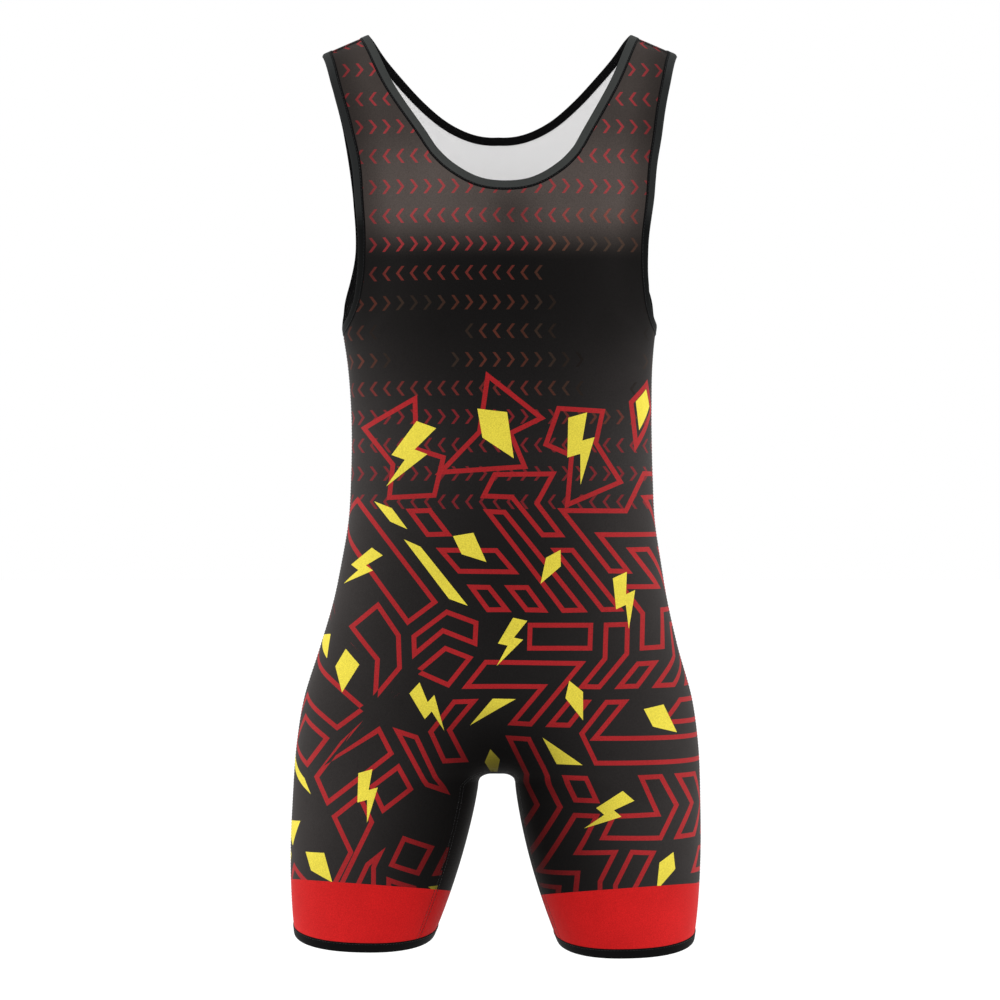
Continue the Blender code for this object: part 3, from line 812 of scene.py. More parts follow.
def chevron_ink(u, v, face):
    """The chevrons' colour at a place, or None in a clearing."""
    whole = 1.0
    for centre_u, centre_v, radius_u, radius_v, gone, full in CLEARINGS[face]:
        reach = math.hypot((u - centre_u) / radius_u, (v - centre_v) / radius_v)
        whole = min(whole, np.clip((reach - gone) / (full - gone), 0, 1))
    if whole < LEAST_INK:
        return None
    rusty = RUST_SHARE * np.interp(v, RUSTY_V, (0, 1, 1, 0))
    red = CHEVRON_RED + (CHEVRON_RUST - CHEVRON_RED) * rusty
    stops = np.array([GROUND * 0, CHEVRON_ASH, CHEVRON_RUST * (1 - RUST_DARK * rusty), red])
    ink = np.array([np.interp(whole, INK_STOPS, stops[:, k]) for k in range(3)])
    return ink * np.interp(v, CHEVRON_FADE_V, CHEVRON_FADE)


def chevron_shapes(face):
    """Rows of chevrons that point right and left in turn, in columns that hang straight."""
    u = CHEVRON_U[0] + CHEVRON_U[1] * CHEVRON_COLUMNS
    places = np.array([(across, v) for v in CHEVRON_V for across in u])
    points = cloth_at(places, face)[0]
    moved = np.interp(points[:, 2], *CHEVRON_HANG) - sideways(points[:, 1], points[:, 2])
    shapes = []
    for index, (place, move) in enumerate(zip(places, moved)):
        ink = chevron_ink(*place, face)
        if ink is not None:
            turn = 1 if index // len(u) % 2 == 0 else -1
            shapes.append(shape(CHEVRON * (turn, 1) + place + (move, 0), ink))
    return shapes


def shape(outer, ink, hole=None):
    return {"outer": outer, "hole": hole, "ink": ink}


def shard_shapes(face):
    """The whole design below the chevrons: outlines first, then the yellow over them."""
    random = np.random.default_rng(SHARD_SEED[face])
    outlines, fills, kept_clear = [], [], []
    for motif, u, v, height, turn, fill, fill_height, fill_turn in FEATURES[face]:
        outline = placed(motif, u, v, height, turn)
        outline = outline if area_of(outline) > 0 else outline[::-1]
        loops = ring(outline, 0.0)
        kept_clear.append(outline)
        outlines.append(shape(loops[0], SHARD_RED, loops[1]))
        yellow = placed(fill, *loops[1].mean(axis=0), fill_height, fill_turn)
        fills.append(shape(yellow, SHARD_YELLOW))
    for place in LOOSE[face]:
        kept_clear.append(placed(*place))
        fills.append(shape(kept_clear[-1], SHARD_YELLOW))
    top = np.array(SHARD_TOP[face], float)
    for polygon, size in cells(random, *SHARD_FIELD, kept_clear):
        middle = polygon.mean(axis=0)
        if polygon[:, 1].max() - TOP_SLACK > np.interp(middle[0], *top.T):
            continue
        polygon = straightened(polygon)
        small, loops = moved_in(polygon, CORRIDOR), ring(polygon, CORRIDOR)
        if size == 1 and random.random() < YELLOW_SHARE:
            if small is not None and len(small) > 3:
                cut = np.delete(small, int(random.integers(len(small))), axis=0)
                fills.append(shape(cut, SHARD_YELLOW))
        elif loops is not None:
            outlines.append(shape(loops[0], SHARD_RED, loops[1]))
        elif small is not None and size <= 2:
            fills.append(shape(small, SHARD_YELLOW))
    return outlines + fills


def band_shape(side, face):
    """The red band of one leg, whose upper edge is a line of the panel from seam to seam."""
    reach = seam_reach(side, face, 1.0)
    first = float(across_of(side, face, 1.0, reach))
    shares = first + (1 - first) * (1 - np.cos(np.linspace(0, math.pi, 41))) / 2
    top = leg_place(shares, 1.0, side, face)
    top[0] = inner_leg(side, face, 1.0, reach)
    line = print_place(top, side)
    end, start = line[-1], line[0]
    beyond, before = end[0] + side * BAND_BEYOND[0], start[0] - side * BAND_BEYOND[1]
    below = [(beyond, end[1]), (beyond, BAND_LOW), (before, BAND_LOW), (before, start[1])]
    return shape(np.vstack([line, below]), BAND_RED)


def eased(value, start, end):
    t = np.clip((value - start) / (end - start), 0, 1)
    return t**2 * (3 - 2 * t)


def side_share(places):
    """0 in the middle of the panel and 1 at its side seams."""
    z = ROLL_START + np.minimum(places[:, 1], 0)
    return np.abs(places[:, 0]) / table_rows(U_TABLE, z)[:, -1]


def ground_and_painted_light(places, face):
    """The cloth's colour: smoky at the chest, partly print and partly painted light from above,
    near black below with painted shade under the chest, lighter to the sides with painted
    sheen, and black along the shoulder seams."""
    v = places[:, 1]
    low = eased(v, *CHEST_V)[:, None]
    strap = 1 - (1 - STRAP_SHARE) * eased(v, *STRAP_V)
    # Painted sheen, stronger towards the side seams
    sides = np.interp(v, SIDE_SHEEN_V, SIDE_SHEEN_LEVEL) * side_share(places) ** 2
    body = GROUND * np.interp(v, GROUND_V, GROUND_LIGHT_LEVEL)[:, None] + GROUND_SIDE_SHEEN * sides[:, None]
    found = CHEST_SMOKE_AND_LIGHT * strap[:, None] * (1 - low) + body * low
    height = height_of(np.abs(places[:, 0]), v)
    found[height > SEAM_HEIGHT[face] - SEAM_DARK[face]] = BLACK
    return found


def shade(places, face):
    """How much of its light the print keeps: less at the armholes, the inner legs and, in
    front, just under the neck."""
    u, v = places.T
    line = arm_line(face, TUCK, ARM_POINTS)
    arms = np.vstack([print_place(line, side) for side in (LEFT, RIGHT)])
    near = np.full(len(places), 1e3)
    for first in range(0, len(places), 4000):
        gaps = places[first : first + 4000, None] - arms
        near[first : first + 4000] = np.sqrt((gaps**2).sum(2)).min(axis=1)
    found = ARM_SHADE + (1 - ARM_SHADE) * eased(near, 0, ARM_SHADE_REACH)
    z = ROLL_START + np.minimum(v, 0)
    inward = np.abs(u) - table_rows(U_TABLE, z)[:, 0]
    leg = eased(z, *(CROTCH_Z + rise for rise in LEG_SHADE_RISE))
    found *= 1 - LEG_SHADE * leg * (1 - eased(inward, 0, LEG_SHADE_REACH))
    if face == FRONT:
        at_u, at_v = NECK_SHADE_PLACE
        size_u, size_v = NECK_SHADE_SIZE
        spot = np.exp(-(((u - at_u) / size_u) ** 2) - ((v - at_v) / size_v) ** 2)
        found *= 1 - NECK_SHADE * spot
    return found


# ------------------------------------------------------------------------- the panels

GRID = 4.6
EDGE_STEP = 5.0
CLOTH_WALL = 0.9
STRIP_TOP = CROTCH_Z - ROLL_START + 16  # v up to which the inner legs have a strip of points
STRIP_STEP = 4.2
STRIP_OFF = (1.0, 2.2, 3.5, 4.9, 6.5, 8.4, 10.8)
STRIP_WIDTH = 12
WRAP_STEPS = np.array([1.0, 0.72, 0.46, 0.24, 0.08])  # shares of the way from edge to gap
WRAP_BAND, WRAP_GROUND = 0.7, 0.2  # how much light their colours keep round the inner legs


def half_outline(side, face):
    """(x, height) round half a panel, from the middle of the neck to that of the crotch."""
    neck = neck_line(face, TUCK, NECK_POINTS)
    arm = arm_line(face, TUCK, ARM_POINTS)
    shoulder_x = np.linspace(neck[-1, 0], arm[-1, 0], 14)[1:-1]
    shoulder = np.stack([shoulder_x, np.full(len(shoulder_x), SEAM_HEIGHT[face])], axis=1)
    band = leg_place(1.0, 1.0, side, face)
    hem = leg_place(1.0, 0.0, side, face)
    down = np.linspace(arm[0, 1], band[1], 120)[1:]
    down = np.concatenate([down, np.linspace(band[1], hem[1], 10)[1:-1]])
    seam = np.stack([section("half_width", down + ROLL_START), down], axis=1)
    first = float(across_of(side, face, 0.0, seam_reach(side, face, 0.0)))
    shares = first + (1 - first) * (1 + np.cos(np.linspace(0, math.pi, 48))) / 2
    bottom = leg_place(shares, 0.0, side, face)[:-1]
    inner = inner_leg(side, face, INNER_COLUMNS, seam_reach(side, face, INNER_COLUMNS))
    return np.vstack([neck, shoulder, arm[::-1], seam, bottom, inner])


# Points up the inner leg: 0 hem, 1 top of the band, 2 crotch corner, 3 arch, 4 middle
INNER_COLUMNS = np.concatenate(
    [np.linspace(0, 1, 11)]
    + [np.linspace(k, k + 1, count)[1:] for k, count in ((1, 25), (2, 13), (3, 3))]
)


def whole_outline(face):
    """Places, points and normals round a whole panel."""
    halves = []
    for side in (RIGHT, LEFT):
        pairs = half_outline(side, face)
        half = [print_place(pairs, side), *surface(pairs, face, side)]
        halves.append([part[::-1][1:-1] for part in half] if side == LEFT else half)
    return [np.vstack(parts) for parts in zip(*halves)]


def divided(polygon):
    """A closed loop with points added on its long sides, so that it can follow the cloth."""
    found = []
    for start, end in zip(polygon, np.roll(polygon, -1, axis=0)):
        count = max(math.ceil(np.linalg.norm(end - start) / EDGE_STEP), 1)
        found.append(start + (end - start) * (np.arange(count) / count)[:, None])
    return np.vstack(found)


def fine_strip(loop):
    """Extra points beside the inner legs, where u runs slower than the cloth."""
    v = np.arange(loop[:, 1].min(), STRIP_TOP, STRIP_STEP)
    rows = table_rows(U_TABLE, v + ROLL_START)
    found = []
    for index, off in enumerate(STRIP_OFF):
        for side in (LEFT, RIGHT):
            shifted = v + STRIP_STEP / 2 * (index % 2)
            found.append(np.stack([side * (rows[:, 0] + off), shifted], axis=1))
    found = np.vstack(found)
    found = found[inside(found, loop)]
    return found[distance_to_loop(found, loop) > 0.8]


def grid_in(loop):
    """A triangular grid of points in the loop, with the strips beside the inner legs."""
    low, high = loop.min(axis=0), loop.max(axis=0)
    grid = []
    for index, v in enumerate(np.arange(low[1], high[1], GRID * math.sqrt(3) / 2)):
        u = np.arange(low[0] + (index % 2) * GRID / 2, high[0], GRID)
        grid.append(np.stack([u, np.full(len(u), v)], axis=1))
    grid = np.vstack(grid)
    grid = grid[inside(grid, loop)]
    grid = grid[distance_to_loop(grid, loop) > 0.55 * GRID]
    start = table_rows(U_TABLE, grid[:, 1] + ROLL_START)[:, 0]
    beside = (np.abs(grid[:, 0]) < start + STRIP_WIDTH) & (grid[:, 1] < STRIP_TOP)
    return np.vstack([grid[~beside], fine_strip(loop)])


def cut_plane(loop, shapes):
    """The plane in triangles that follow the outline and the edges of every shape."""
    corners, edges, start = [], [], 0
    parts = [divided(p) for each in shapes for p in (each["outer"], each["hole"]) if p is not None]
    for part in [loop] + parts:
        corners.append(part)
        edges += [(start + k, start + (k + 1) % len(part)) for k in range(len(part))]
        start += len(part)
    corners = np.vstack(corners + [grid_in(loop)])
    return delaunay_2d_cdt([Vector(p) for p in corners], edges, [], 0, 1e-4)


def inks_at(middles, shapes):
    """The number of the uppermost shape at each place, or -1 on the bare ground."""
    ink = np.full(len(middles), -1)
    for index, each in enumerate(shapes):
        low, high = each["outer"].min(axis=0), each["outer"].max(axis=0)
        near = np.flatnonzero(((middles >= low) & (middles <= high)).all(axis=1))
        hit = inside(middles[near], each["outer"])
        if each["hole"] is not None:
            hit &= ~inside(middles[near], each["hole"])
        ink[near[hit]] = index
    return ink


def on_cloth(made, places, used, renumber, outline, face):
    """Points and normals of the used places. Those on the outline lie on it exactly."""
    loop, rim_points, rim_normals = outline
    points, normals = cloth_at(places[used], face)
    on_rim = np.zeros(len(used), bool)
    for new, old in enumerate(used):
        sources = [s for s in made[3][old] if s < len(loop)]
        if sources:
            points[new], normals[new] = rim_points[sources[0]], rim_normals[sources[0]]
            on_rim[new] = True
    for (a, b), sources in zip(made[1], made[4]):
        sources = [s for s in sources if s < len(loop)]
        if not sources:
            continue
        s, e = sources[0], (sources[0] + 1) % len(loop)
        for old in (a, b):
            new = renumber[old]
            if new >= 0 and not on_rim[new]:
                t = np.linalg.norm(places[old] - loop[s]) / np.linalg.norm(loop[e] - loop[s])
                points[new] = rim_points[s] + (rim_points[e] - rim_points[s]) * t
                normals[new] = rim_normals[s] + (rim_normals[e] - rim_normals[s]) * t
                on_rim[new] = True
    return points, normals


def coloured(places, triangles, ink, shapes, face):
    """A colour for each corner of each triangle. The last two shapes are the red bands."""
    ground = ground_and_painted_light(places, face)
    colours = ground[triangles]
    inked_in = ink >= 0
    over = np.array([each["ink"] for each in shapes])[ink[inked_in]][:, None, :]
    # Painted sheen: the inks grow lighter towards the side seams
    side_sheen_gain = 1 + SIDE_INK_SHEEN * side_share(places)[triangles[inked_in]][..., None] ** 2
    colours[inked_in] = over * side_sheen_gain + INK_GROUND_SHARE * colours[inked_in]
    kept = shade(places, face)[triangles][..., None]
    band = ink >= len(shapes) - 2
    colours[band] = BAND_RED + BAND_GROUND_SHARE * ground[triangles[band]]
    kept[band] = 1 - BAND_SHADE * (1 - kept[band])
    return colours * kept


def draw(face):
    """The panel's plane cut along its outline and the edges of every ink."""
    outline = whole_outline(face)
    loop = outline[0]
    shapes = chevron_shapes(face) + shard_shapes(face)
    if face == BACK:
        shapes = [each for each in shapes if clear_of_inner_leg(each, loop)]
    shapes += [band_shape(side, face) for side in (LEFT, RIGHT)]
    made = cut_plane(loop, shapes)
    places = np.array([tuple(p) for p in made[0]])
    triangles = np.array(made[2])
    middles = places[triangles].mean(axis=1)
    kept = inside(middles, loop)
    triangles, ink = triangles[kept], inks_at(middles[kept], shapes)
    used = np.unique(triangles)
    renumber = np.full(len(places), -1)
    renumber[used] = np.arange(len(used))
    points, normals = on_cloth(made, places, used, renumber, outline, face)
    places, triangles = places[used], renumber[triangles]
    return {
        "places": places,
        "points": points,
        "normals": normals,
        "triangles": triangles,
        "colours": coloured(places, triangles, ink, shapes, face),
    }


def clear_of_inner_leg(each, loop):
    """Whether a shape leaves the plain strip beside the back panel's inner leg alone."""
    outer = each["outer"]
    if outer[:, 1].min() > CROTCH_Z - ROLL_START + 30:
        return True
    inner = loop[(np.abs(loop[:, 0]) < 75) & (loop[:, 1] < STRIP_TOP)]
    return np.linalg.norm(outer[:, None] - inner[None], axis=2).min() > 7


def add_wrap(drawn):
    """The back panel's own reach round the inner legs to the inner-leg seam, left plain."""
    for side in (LEFT, RIGHT):
        reaches = [(BACK, INSEAM_BACK_REACH * step) for step in WRAP_STEPS] + [(BACK, 0.0)]
        front = seam_reach(side, FRONT, INNER_COLUMNS)
        reaches += [(FRONT, front * step) for step in WRAP_STEPS[::-1]]
        lines = [surface(inner_leg(side, f, INNER_COLUMNS, reach), f, side) for f, reach in reaches]
        points, normals = (np.array(parts) for parts in zip(*lines))
        rows, columns = points.shape[:2]
        number = len(drawn["points"]) + np.arange(rows * columns).reshape(rows, columns)
        gaps = np.linalg.norm(drawn["points"][:, None] - points[0][None], axis=2)
        number[0] = np.argmin(gaps, axis=0)
        corners = [number[:-1, :-1], number[1:, :-1], number[1:, 1:], number[:-1, 1:]]
        a, b, c, d = [part.reshape(-1) for part in corners]
        faces = np.vstack([np.stack([a, b, c], 1), np.stack([a, c, d], 1)])
        if side == LEFT:
            faces = faces[:, ::-1]
        column = np.tile(np.arange(columns - 1), rows - 1)
        red = np.tile(INNER_COLUMNS[column + 1] < 1.01, 2)
        colours = np.where(red[:, None, None], BAND_RED * WRAP_BAND, GROUND * WRAP_GROUND)
        u, v = np.meshgrid(INNER_COLUMNS * 40, np.arange(rows) * 3.0)
        added = {
            "places": np.stack([u.ravel(), v.ravel() - 620], axis=1),
            "points": points.reshape(-1, 3),
            "normals": normals.reshape(-1, 3),
            "triangles": faces,
            "colours": np.broadcast_to(colours, (len(faces), 3, 3)),
        }
        for key, values in added.items():
            drawn[key] = np.concatenate([drawn[key], values])


def tilted(points, normals, face):
    """The cloth's normals, turned by the slopes of its relief."""
    by_x = slope(lambda t: cloth_relief(points + (t, 0, 0), face), 0.5)
    by_z = slope(lambda t: cloth_relief(points + (0, 0, t), face), 0.5)
    rise = np.stack([by_x, np.zeros(len(points)), by_z], axis=1)
    rise = rise - normals * (rise * normals).sum(1)[:, None]
    found = normals - rise
    return found / np.linalg.norm(found, axis=1)[:, None]


def new_piece(name, points, faces, materials, slots=None):
    """A mesh object from points in millimetres."""
    data = bpy.data.meshes.new(name)
    data.from_pydata((np.asarray(points) * MM).tolist(), [], [list(map(int, f)) for f in faces])
    for made in materials:
        data.materials.append(made)
    if slots is not None:
        data.polygons.foreach_set("material_index", np.asarray(slots, np.int32))
    data.shade_smooth()
    piece = bpy.data.objects.new(name, data)
    bpy.context.scene.collection.objects.link(piece)
    return piece


def set_ink_and_shade(data, colours):
    """A colour for each corner of each face, in the mesh's own order: print, yarn and painted light
    and shade.
    """
    layer = data.color_attributes.new("ink", "FLOAT_COLOR", "CORNER")
    rgba = np.ones((len(colours), 4), np.float32)
    rgba[:, :3] = colours
    layer.data.foreach_set("color", rgba.ravel())


def make_panel(face, name, materials):
    """A panel as a closed shell, printed outside and plain inside."""
    drawn = draw(face)
    if face == BACK:
        drawn["triangles"] = drawn["triangles"][:, ::-1]
        drawn["colours"] = drawn["colours"][:, ::-1]
        add_wrap(drawn)
    used, numbered = np.unique(drawn["triangles"], return_inverse=True)
    triangles = numbered.reshape(-1, 3)
    for key in ("places", "points", "normals"):
        drawn[key] = drawn[key][used]
    normals = drawn["normals"] / np.linalg.norm(drawn["normals"], axis=1)[:, None]
    outer = drawn["points"] + normals * cloth_relief(drawn["points"], face)[:, None]
    shaded = tilted(drawn["points"], normals, face)
    inner = outer - normals * CLOTH_WALL
    count = len(outer)
    sides = {}
    for a, b, c in triangles:
        for pair in ((a, b), (b, c), (c, a)):
            sides[pair] = True
    rim = [(b, a, a + count, b + count) for a, b in sides if (b, a) not in sides]
    lining = triangles[:, ::-1] + count
    faces = list(triangles) + list(lining) + rim
    slots = [0] * len(triangles) + [1] * (len(triangles) + len(rim))
    piece = new_piece(name, np.vstack([outer, inner]), faces, materials, slots)
    plain = np.tile(BLACK, (3 * len(triangles) + 4 * len(rim), 1))
    set_ink_and_shade(piece.data, np.vstack([drawn["colours"].reshape(-1, 3), plain]))
    places = np.vstack([drawn["places"], drawn["places"]]) * MM
    loops = np.concatenate([triangles.ravel(), lining.ravel(), np.array(rim).ravel()])
    layer = piece.data.uv_layers.new(name="print")
    layer.data.foreach_set("uv", places[loops].astype(np.float32).ravel())
    piece.data.normals_split_custom_set_from_vertices(np.vstack([shaded, -shaded]).tolist())
    return piece


# Soft pulls in the cloth: where each starts and ends, its width and its height, in mm.
# x is from the middle on both sides, z is real height
PULLS = {
    FRONT: [
        ((22, -700), (92, -655), 15, 0.9),
        ((30, -716), (110, -700), 13, -0.8),
        ((34, -742), (118, -752), 14, 0.8),
        ((140, -300), (98, -268), 12, 0.8),
        ((146, -326), (112, -318), 11, -0.6),
        ((148, -420), (108, -432), 16, 0.6),
    ],
    BACK: [
        ((20, -690), (88, -640), 16, 1.0),
        ((30, -712), (112, -700), 14, -0.9),
        ((10, -470), (112, -452), 17, 1.0),
        ((6, -500), (104, -492), 15, -0.9),
        ((140, -290), (92, -250), 13, 0.9),
    ],
}


def cloth_relief(points, face):
    """How far the cloth stands off its form at points on it."""
    x, z = points[:, 0], points[:, 2]
    found = np.zeros(len(points))
    for index, ((x0, z0), (x1, z1), width, height) in enumerate(PULLS[face]):
        for side in (LEFT, RIGHT):
            shift = 5.0 * math.sin(2.3 * index + side)
            start = np.array([side * x0, z0 + shift])
            along = np.array([side * x1, z1 - shift]) - start
            length = np.linalg.norm(along)
            along = along / length
            near = np.stack([x, z], axis=1) - start
            t = near @ along / length
            off = near @ np.array([-along[1], along[0]]) + 4 * np.sin(math.pi * np.clip(t, 0, 1))
            fade = np.clip(np.sin(math.pi * np.clip(t, 0, 1)), 0, 1) ** 0.8
            found += height * (1 + 0.15 * side) * fade * np.exp(-((off / width) ** 2) * 4)
    return found


# ----------------------------------------------------------------------- the bindings

# The folded tape's section: mm in from the free edge, mm out from the cloth, and whether
# it is grey. The tape is black inside, and its outer face is black from 7.4 mm in to the
# cloth, as painted shadow of the seam's groove. Its fifth point is in the middle of the
# outer face
TAPE_SECTION = [
    (9.7, 0.04, 0), (9.55, 0.32, 0), (8.95, 0.50, 0), (7.4, 0.60, 1), (4.5, 0.64, 1),
    (2.2, 0.60, 1), (0.8, 0.38, 1), (0.1, -0.10, 1), (0.0, -0.55, 0), (0.3, -1.10, 0),
    (1.4, -1.50, 0), (4.6, -1.62, 0), (8.0, -1.50, 0), (8.4, -1.20, 0), (8.2, -1.04, 0),
    (1.9, -1.06, 0), (1.2, -0.50, 0), (1.9, 0.02, 0),
]
FACE_POINT = 4
ARM_DEEPER = 4.0  # how much further in the arm tapes' inner half reaches
# On the arm tapes: painted light over the shoulders and painted shade low in the armholes
ARM_PAINTED_LIGHT, ARM_PAINTED_LIGHT_Z = 0.9, (-55, -10)
ARM_PAINTED_SHADE, ARM_PAINTED_SHADE_Z = 0.85, (-168, -196)


def ring_of(lines, side):
    """Points and normals along (face, pairs) lines, one after another."""
    parts = [surface(pairs, face, side) for face, pairs in lines]
    return [np.vstack(values) for values in zip(*parts)]


def neck_ring(width):
    front, back = (neck_line(face, width, NECK_TAPE_POINTS) for face in (FRONT, BACK))
    lines = [(FRONT, front), (BACK, back[-2::-1])]
    return [np.vstack([r, l[-2:0:-1]]) for r, l in zip(ring_of(lines, RIGHT), ring_of(lines, LEFT))]


def arm_ring(side, width):
    front, back = (arm_line(face, width, ARM_POINTS) for face in (FRONT, BACK))
    return ring_of([(FRONT, front), (BACK, back[-2:0:-1])], side)


def hem_ring(side, width):
    shares = (1 - np.cos(np.linspace(0, math.pi, 61))) / 2
    front = leg_place(shares, 0.0, side, FRONT, width)
    back = leg_place(shares[::-1], 0.0, side, BACK, width)
    return ring_of([(FRONT, front), (BACK, back[1:-1])], side)


def neck_ink(points):
    return np.broadcast_to(NECK_GREY, points.shape)


def arm_grey_and_shade(points):
    """The armhole tapes' grey, with painted light over the shoulders and painted shade low in the
    armhole.
    """
    z = points[:, 2]
    lighter = 1 + ARM_PAINTED_LIGHT * eased(z, *ARM_PAINTED_LIGHT_Z)
    return ARM_GREY * (lighter * (1 - ARM_PAINTED_SHADE * eased(z, *ARM_PAINTED_SHADE_Z)))[:, None]


def leg_ink(points):
    return np.broadcast_to(BLACK, points.shape)


def make_tape(name, ring_at, material, face_colour, deeper):
    """A folded tape round an opening, hollow where the cloth's edge lies inside it, and its
    length. Its half inside the garment reaches further in by deeper."""
    rings = []
    for width, out, _ in TAPE_SECTION:
        width += deeper if width > 5 and out < -1 else 0
        points, normals = ring_at(width)
        normals = normals / np.linalg.norm(normals, axis=1)[:, None]
        rings.append(points + normals * out)
    rings = np.array(rings)
    number = np.arange(rings.shape[0] * rings.shape[1]).reshape(rings.shape[:2])
    a, b = number, np.roll(number, -1, axis=1)
    c, d = np.roll(b, -1, axis=0), np.roll(a, -1, axis=0)
    faces = np.stack([a.ravel(), b.ravel(), c.ravel(), d.ravel()], axis=1)
    middle = rings[FACE_POINT]
    normal_out = np.cross(middle[1] - middle[0], rings[FACE_POINT + 1, 0] - middle[0])
    if normal_out @ ring_at(TAPE_SECTION[FACE_POINT][0])[1][0] < 0:
        faces = faces[:, ::-1]
    piece = new_piece(name, rings.reshape(-1, 3), faces, [material])
    shows = np.array([row[2] for row in TAPE_SECTION])
    # Faces between two grey points are grey; the rest are black, which on the outer face by the cloth
    # is painted seam shadow
    grey = (shows * np.roll(shows, -1))[:, None, None]
    tape_colours = np.where(grey == 1, face_colour(middle), BLACK)
    set_ink_and_shade(piece.data, np.repeat(tape_colours.reshape(-1, 3), 4, axis=0))
    lengths = np.linalg.norm(np.roll(middle, -1, axis=0) - middle, axis=1)
    return piece, float(np.cumsum(lengths)[-1])


# ---------------------------------------------------------------------- the stitching

STITCH_LONG, STITCH_PITCH, STITCH_RADIUS = 2.5, 3.1, 0.2
STITCH_SIDES = 5
# Along a stitch, in halves of its length: its share of the radius, and how far it stands up
STITCH_SHAPE = [(-1, 0.45, -0.12), (-0.5, 1, 0.1), (0.5, 1, 0.1), (1, 0.45, -0.12)]
ON_SEAM, ON_TAPE = 0.12, 0.52  # how far out stitches lie
TAPE_ROW = 8.3  # how far in from a tape's edge its stitches run
SIDE_ROW, SHOULDER_ROW, INNER_ROWS = 1.3, 1.4, (-1.4, 1.4)  # and from the seams


def resample(points, normals, closed):
    """The middles of stitches along a line, and the ways ahead and up at each."""
    if closed:
        points, normals = np.vstack([points, points[:1]]), np.vstack([normals, normals[:1]])
    along = length_along(points)
    count = max(int(along[-1] / STITCH_PITCH), 2)
    at = (np.arange(count) + 0.5) * along[-1] / count
    step = 0.4 * STITCH_PITCH

    def read(values, where):
        return np.stack([np.interp(where, along, values[:, k]) for k in range(3)], axis=1)

    ahead = read(points, np.minimum(at + step, along[-1])) - read(points, np.maximum(at - step, 0))
    up = read(normals, at)
    ahead, up = (way / np.linalg.norm(way, axis=1)[:, None] for way in (ahead, up))
    return read(points, at), ahead, up


def make_stitches(name, rows, material):
    """Stitches along rows of (points, normals, closed)."""
    n, half, template, quads = STITCH_SIDES, STITCH_LONG / 2, [], []
    for share, size, up in STITCH_SHAPE:
        for k in range(n):
            turn = 2 * math.pi * k / n
            aside, rise = size * STITCH_RADIUS * math.cos(turn), size * STITCH_RADIUS * math.sin(turn)
            template.append((share * half, aside, up + rise))
    template = np.array(template)
    for s in range(len(STITCH_SHAPE) - 1):
        for k in range(n):
            a, b = s * n + k, s * n + (k + 1) % n
            quads.append((a, b, b + n, a + n))
    ends = [tuple(range(n))[::-1], tuple(range(len(template) - n, len(template)))]
    all_points, all_faces, start = [], [], 0
    for points, normals, closed in rows:
        at, ahead, up = resample(points, normals, closed)
        across = np.cross(up, ahead)
        made = at[:, None] + template[None, :, :1] * ahead[:, None]
        made = made + template[None, :, 1:2] * across[:, None] + template[None, :, 2:] * up[:, None]
        all_points.append(made.reshape(-1, 3))
        for base in range(start, start + len(at) * len(template), len(template)):
            all_faces += [tuple(base + q for q in face) for face in quads + ends]
        start += len(at) * len(template)
    return new_piece(name, np.vstack(all_points), all_faces, [material])


def on_tape(line):
    points, normals = line
    normals = normals / np.linalg.norm(normals, axis=1)[:, None]
    return points + normals * ON_TAPE, normals, True


def on_seam(line):
    points, normals = line
    return points + normals * ON_SEAM, normals, False


def panel_seams(face):
    """Rows of stitches beside the seams of one panel."""
    rows = []
    for side in (LEFT, RIGHT):
        arm, hem = arm_line(face, TUCK, ARM_POINTS), leg_place(1.0, 0.0, side, face)
        z = np.linspace(arm[0, 1] - 2, hem[1] + 2, 160) + ROLL_START
        rows.append(on_seam(beside_side_seam(z, face, side)))
        neck_end = neck_line(face, TUCK, NECK_POINTS)[-1]
        x = np.linspace(neck_end[0] + 1, arm[-1][0] - 1, 30)
        pairs = np.stack([x, np.full(30, SEAM_HEIGHT[face] - SHOULDER_ROW)], axis=1)
        rows.append(on_seam(surface(pairs, face, side)))
    if face == BACK:
        for side in (LEFT, RIGHT):
            for extra in INNER_ROWS:
                reach = np.maximum(seam_reach(side, FRONT, INNER_COLUMNS) + extra, 0.3)
                pairs = inner_leg(side, FRONT, INNER_COLUMNS[:-1], reach[:-1])
                rows.append(on_seam(surface(pairs, FRONT, side)))
    return rows


def beside_side_seam(z, face, side):
    """Points and normals a little way round the section from the side seam."""
    depth = depth_at(z, 0, face)
    phi = math.pi / 2 - (SIDE_ROW / depth) ** (SQUARENESS / 2)
    x = read_at(table_rows(X_TABLE, z), (phi - TABLE_PHI[0]) / (TABLE_PHI[1] - TABLE_PHI[0]))
    y = face * depth * np.cos(phi) ** (2 / SQUARENESS)
    points = np.stack([sideways(y, z) + x, y, z], axis=1)
    pairs = np.stack([np.minimum(x, section("half_width", z) - BY_SEAM), z - ROLL_START], axis=1)
    return mirror(points, outward(*pairs.T, face), side)


# ---------------------------------------------------------------------- the materials


WALES, COURSES = 0.0011, 0.0008  # m across and up for each loop of the knit


def new_material(name, roughness, sheen, tint=(1, 1, 1), colour=None):
    made = bpy.data.materials.new(name)
    made.use_nodes = True
    shader = made.node_tree.nodes["Principled BSDF"]
    shader.inputs["Roughness"].default_value = roughness
    shader.inputs["Specular IOR Level"].default_value = 0.02
    shader.inputs["Sheen Weight"].default_value = sheen
    shader.inputs["Sheen Roughness"].default_value = 0.5
    shader.inputs["Sheen Tint"].default_value = (*tint, 1)
    if colour is not None:
        shader.inputs["Base Color"].default_value = (*colour, 1)
    return made, made.node_tree, shader


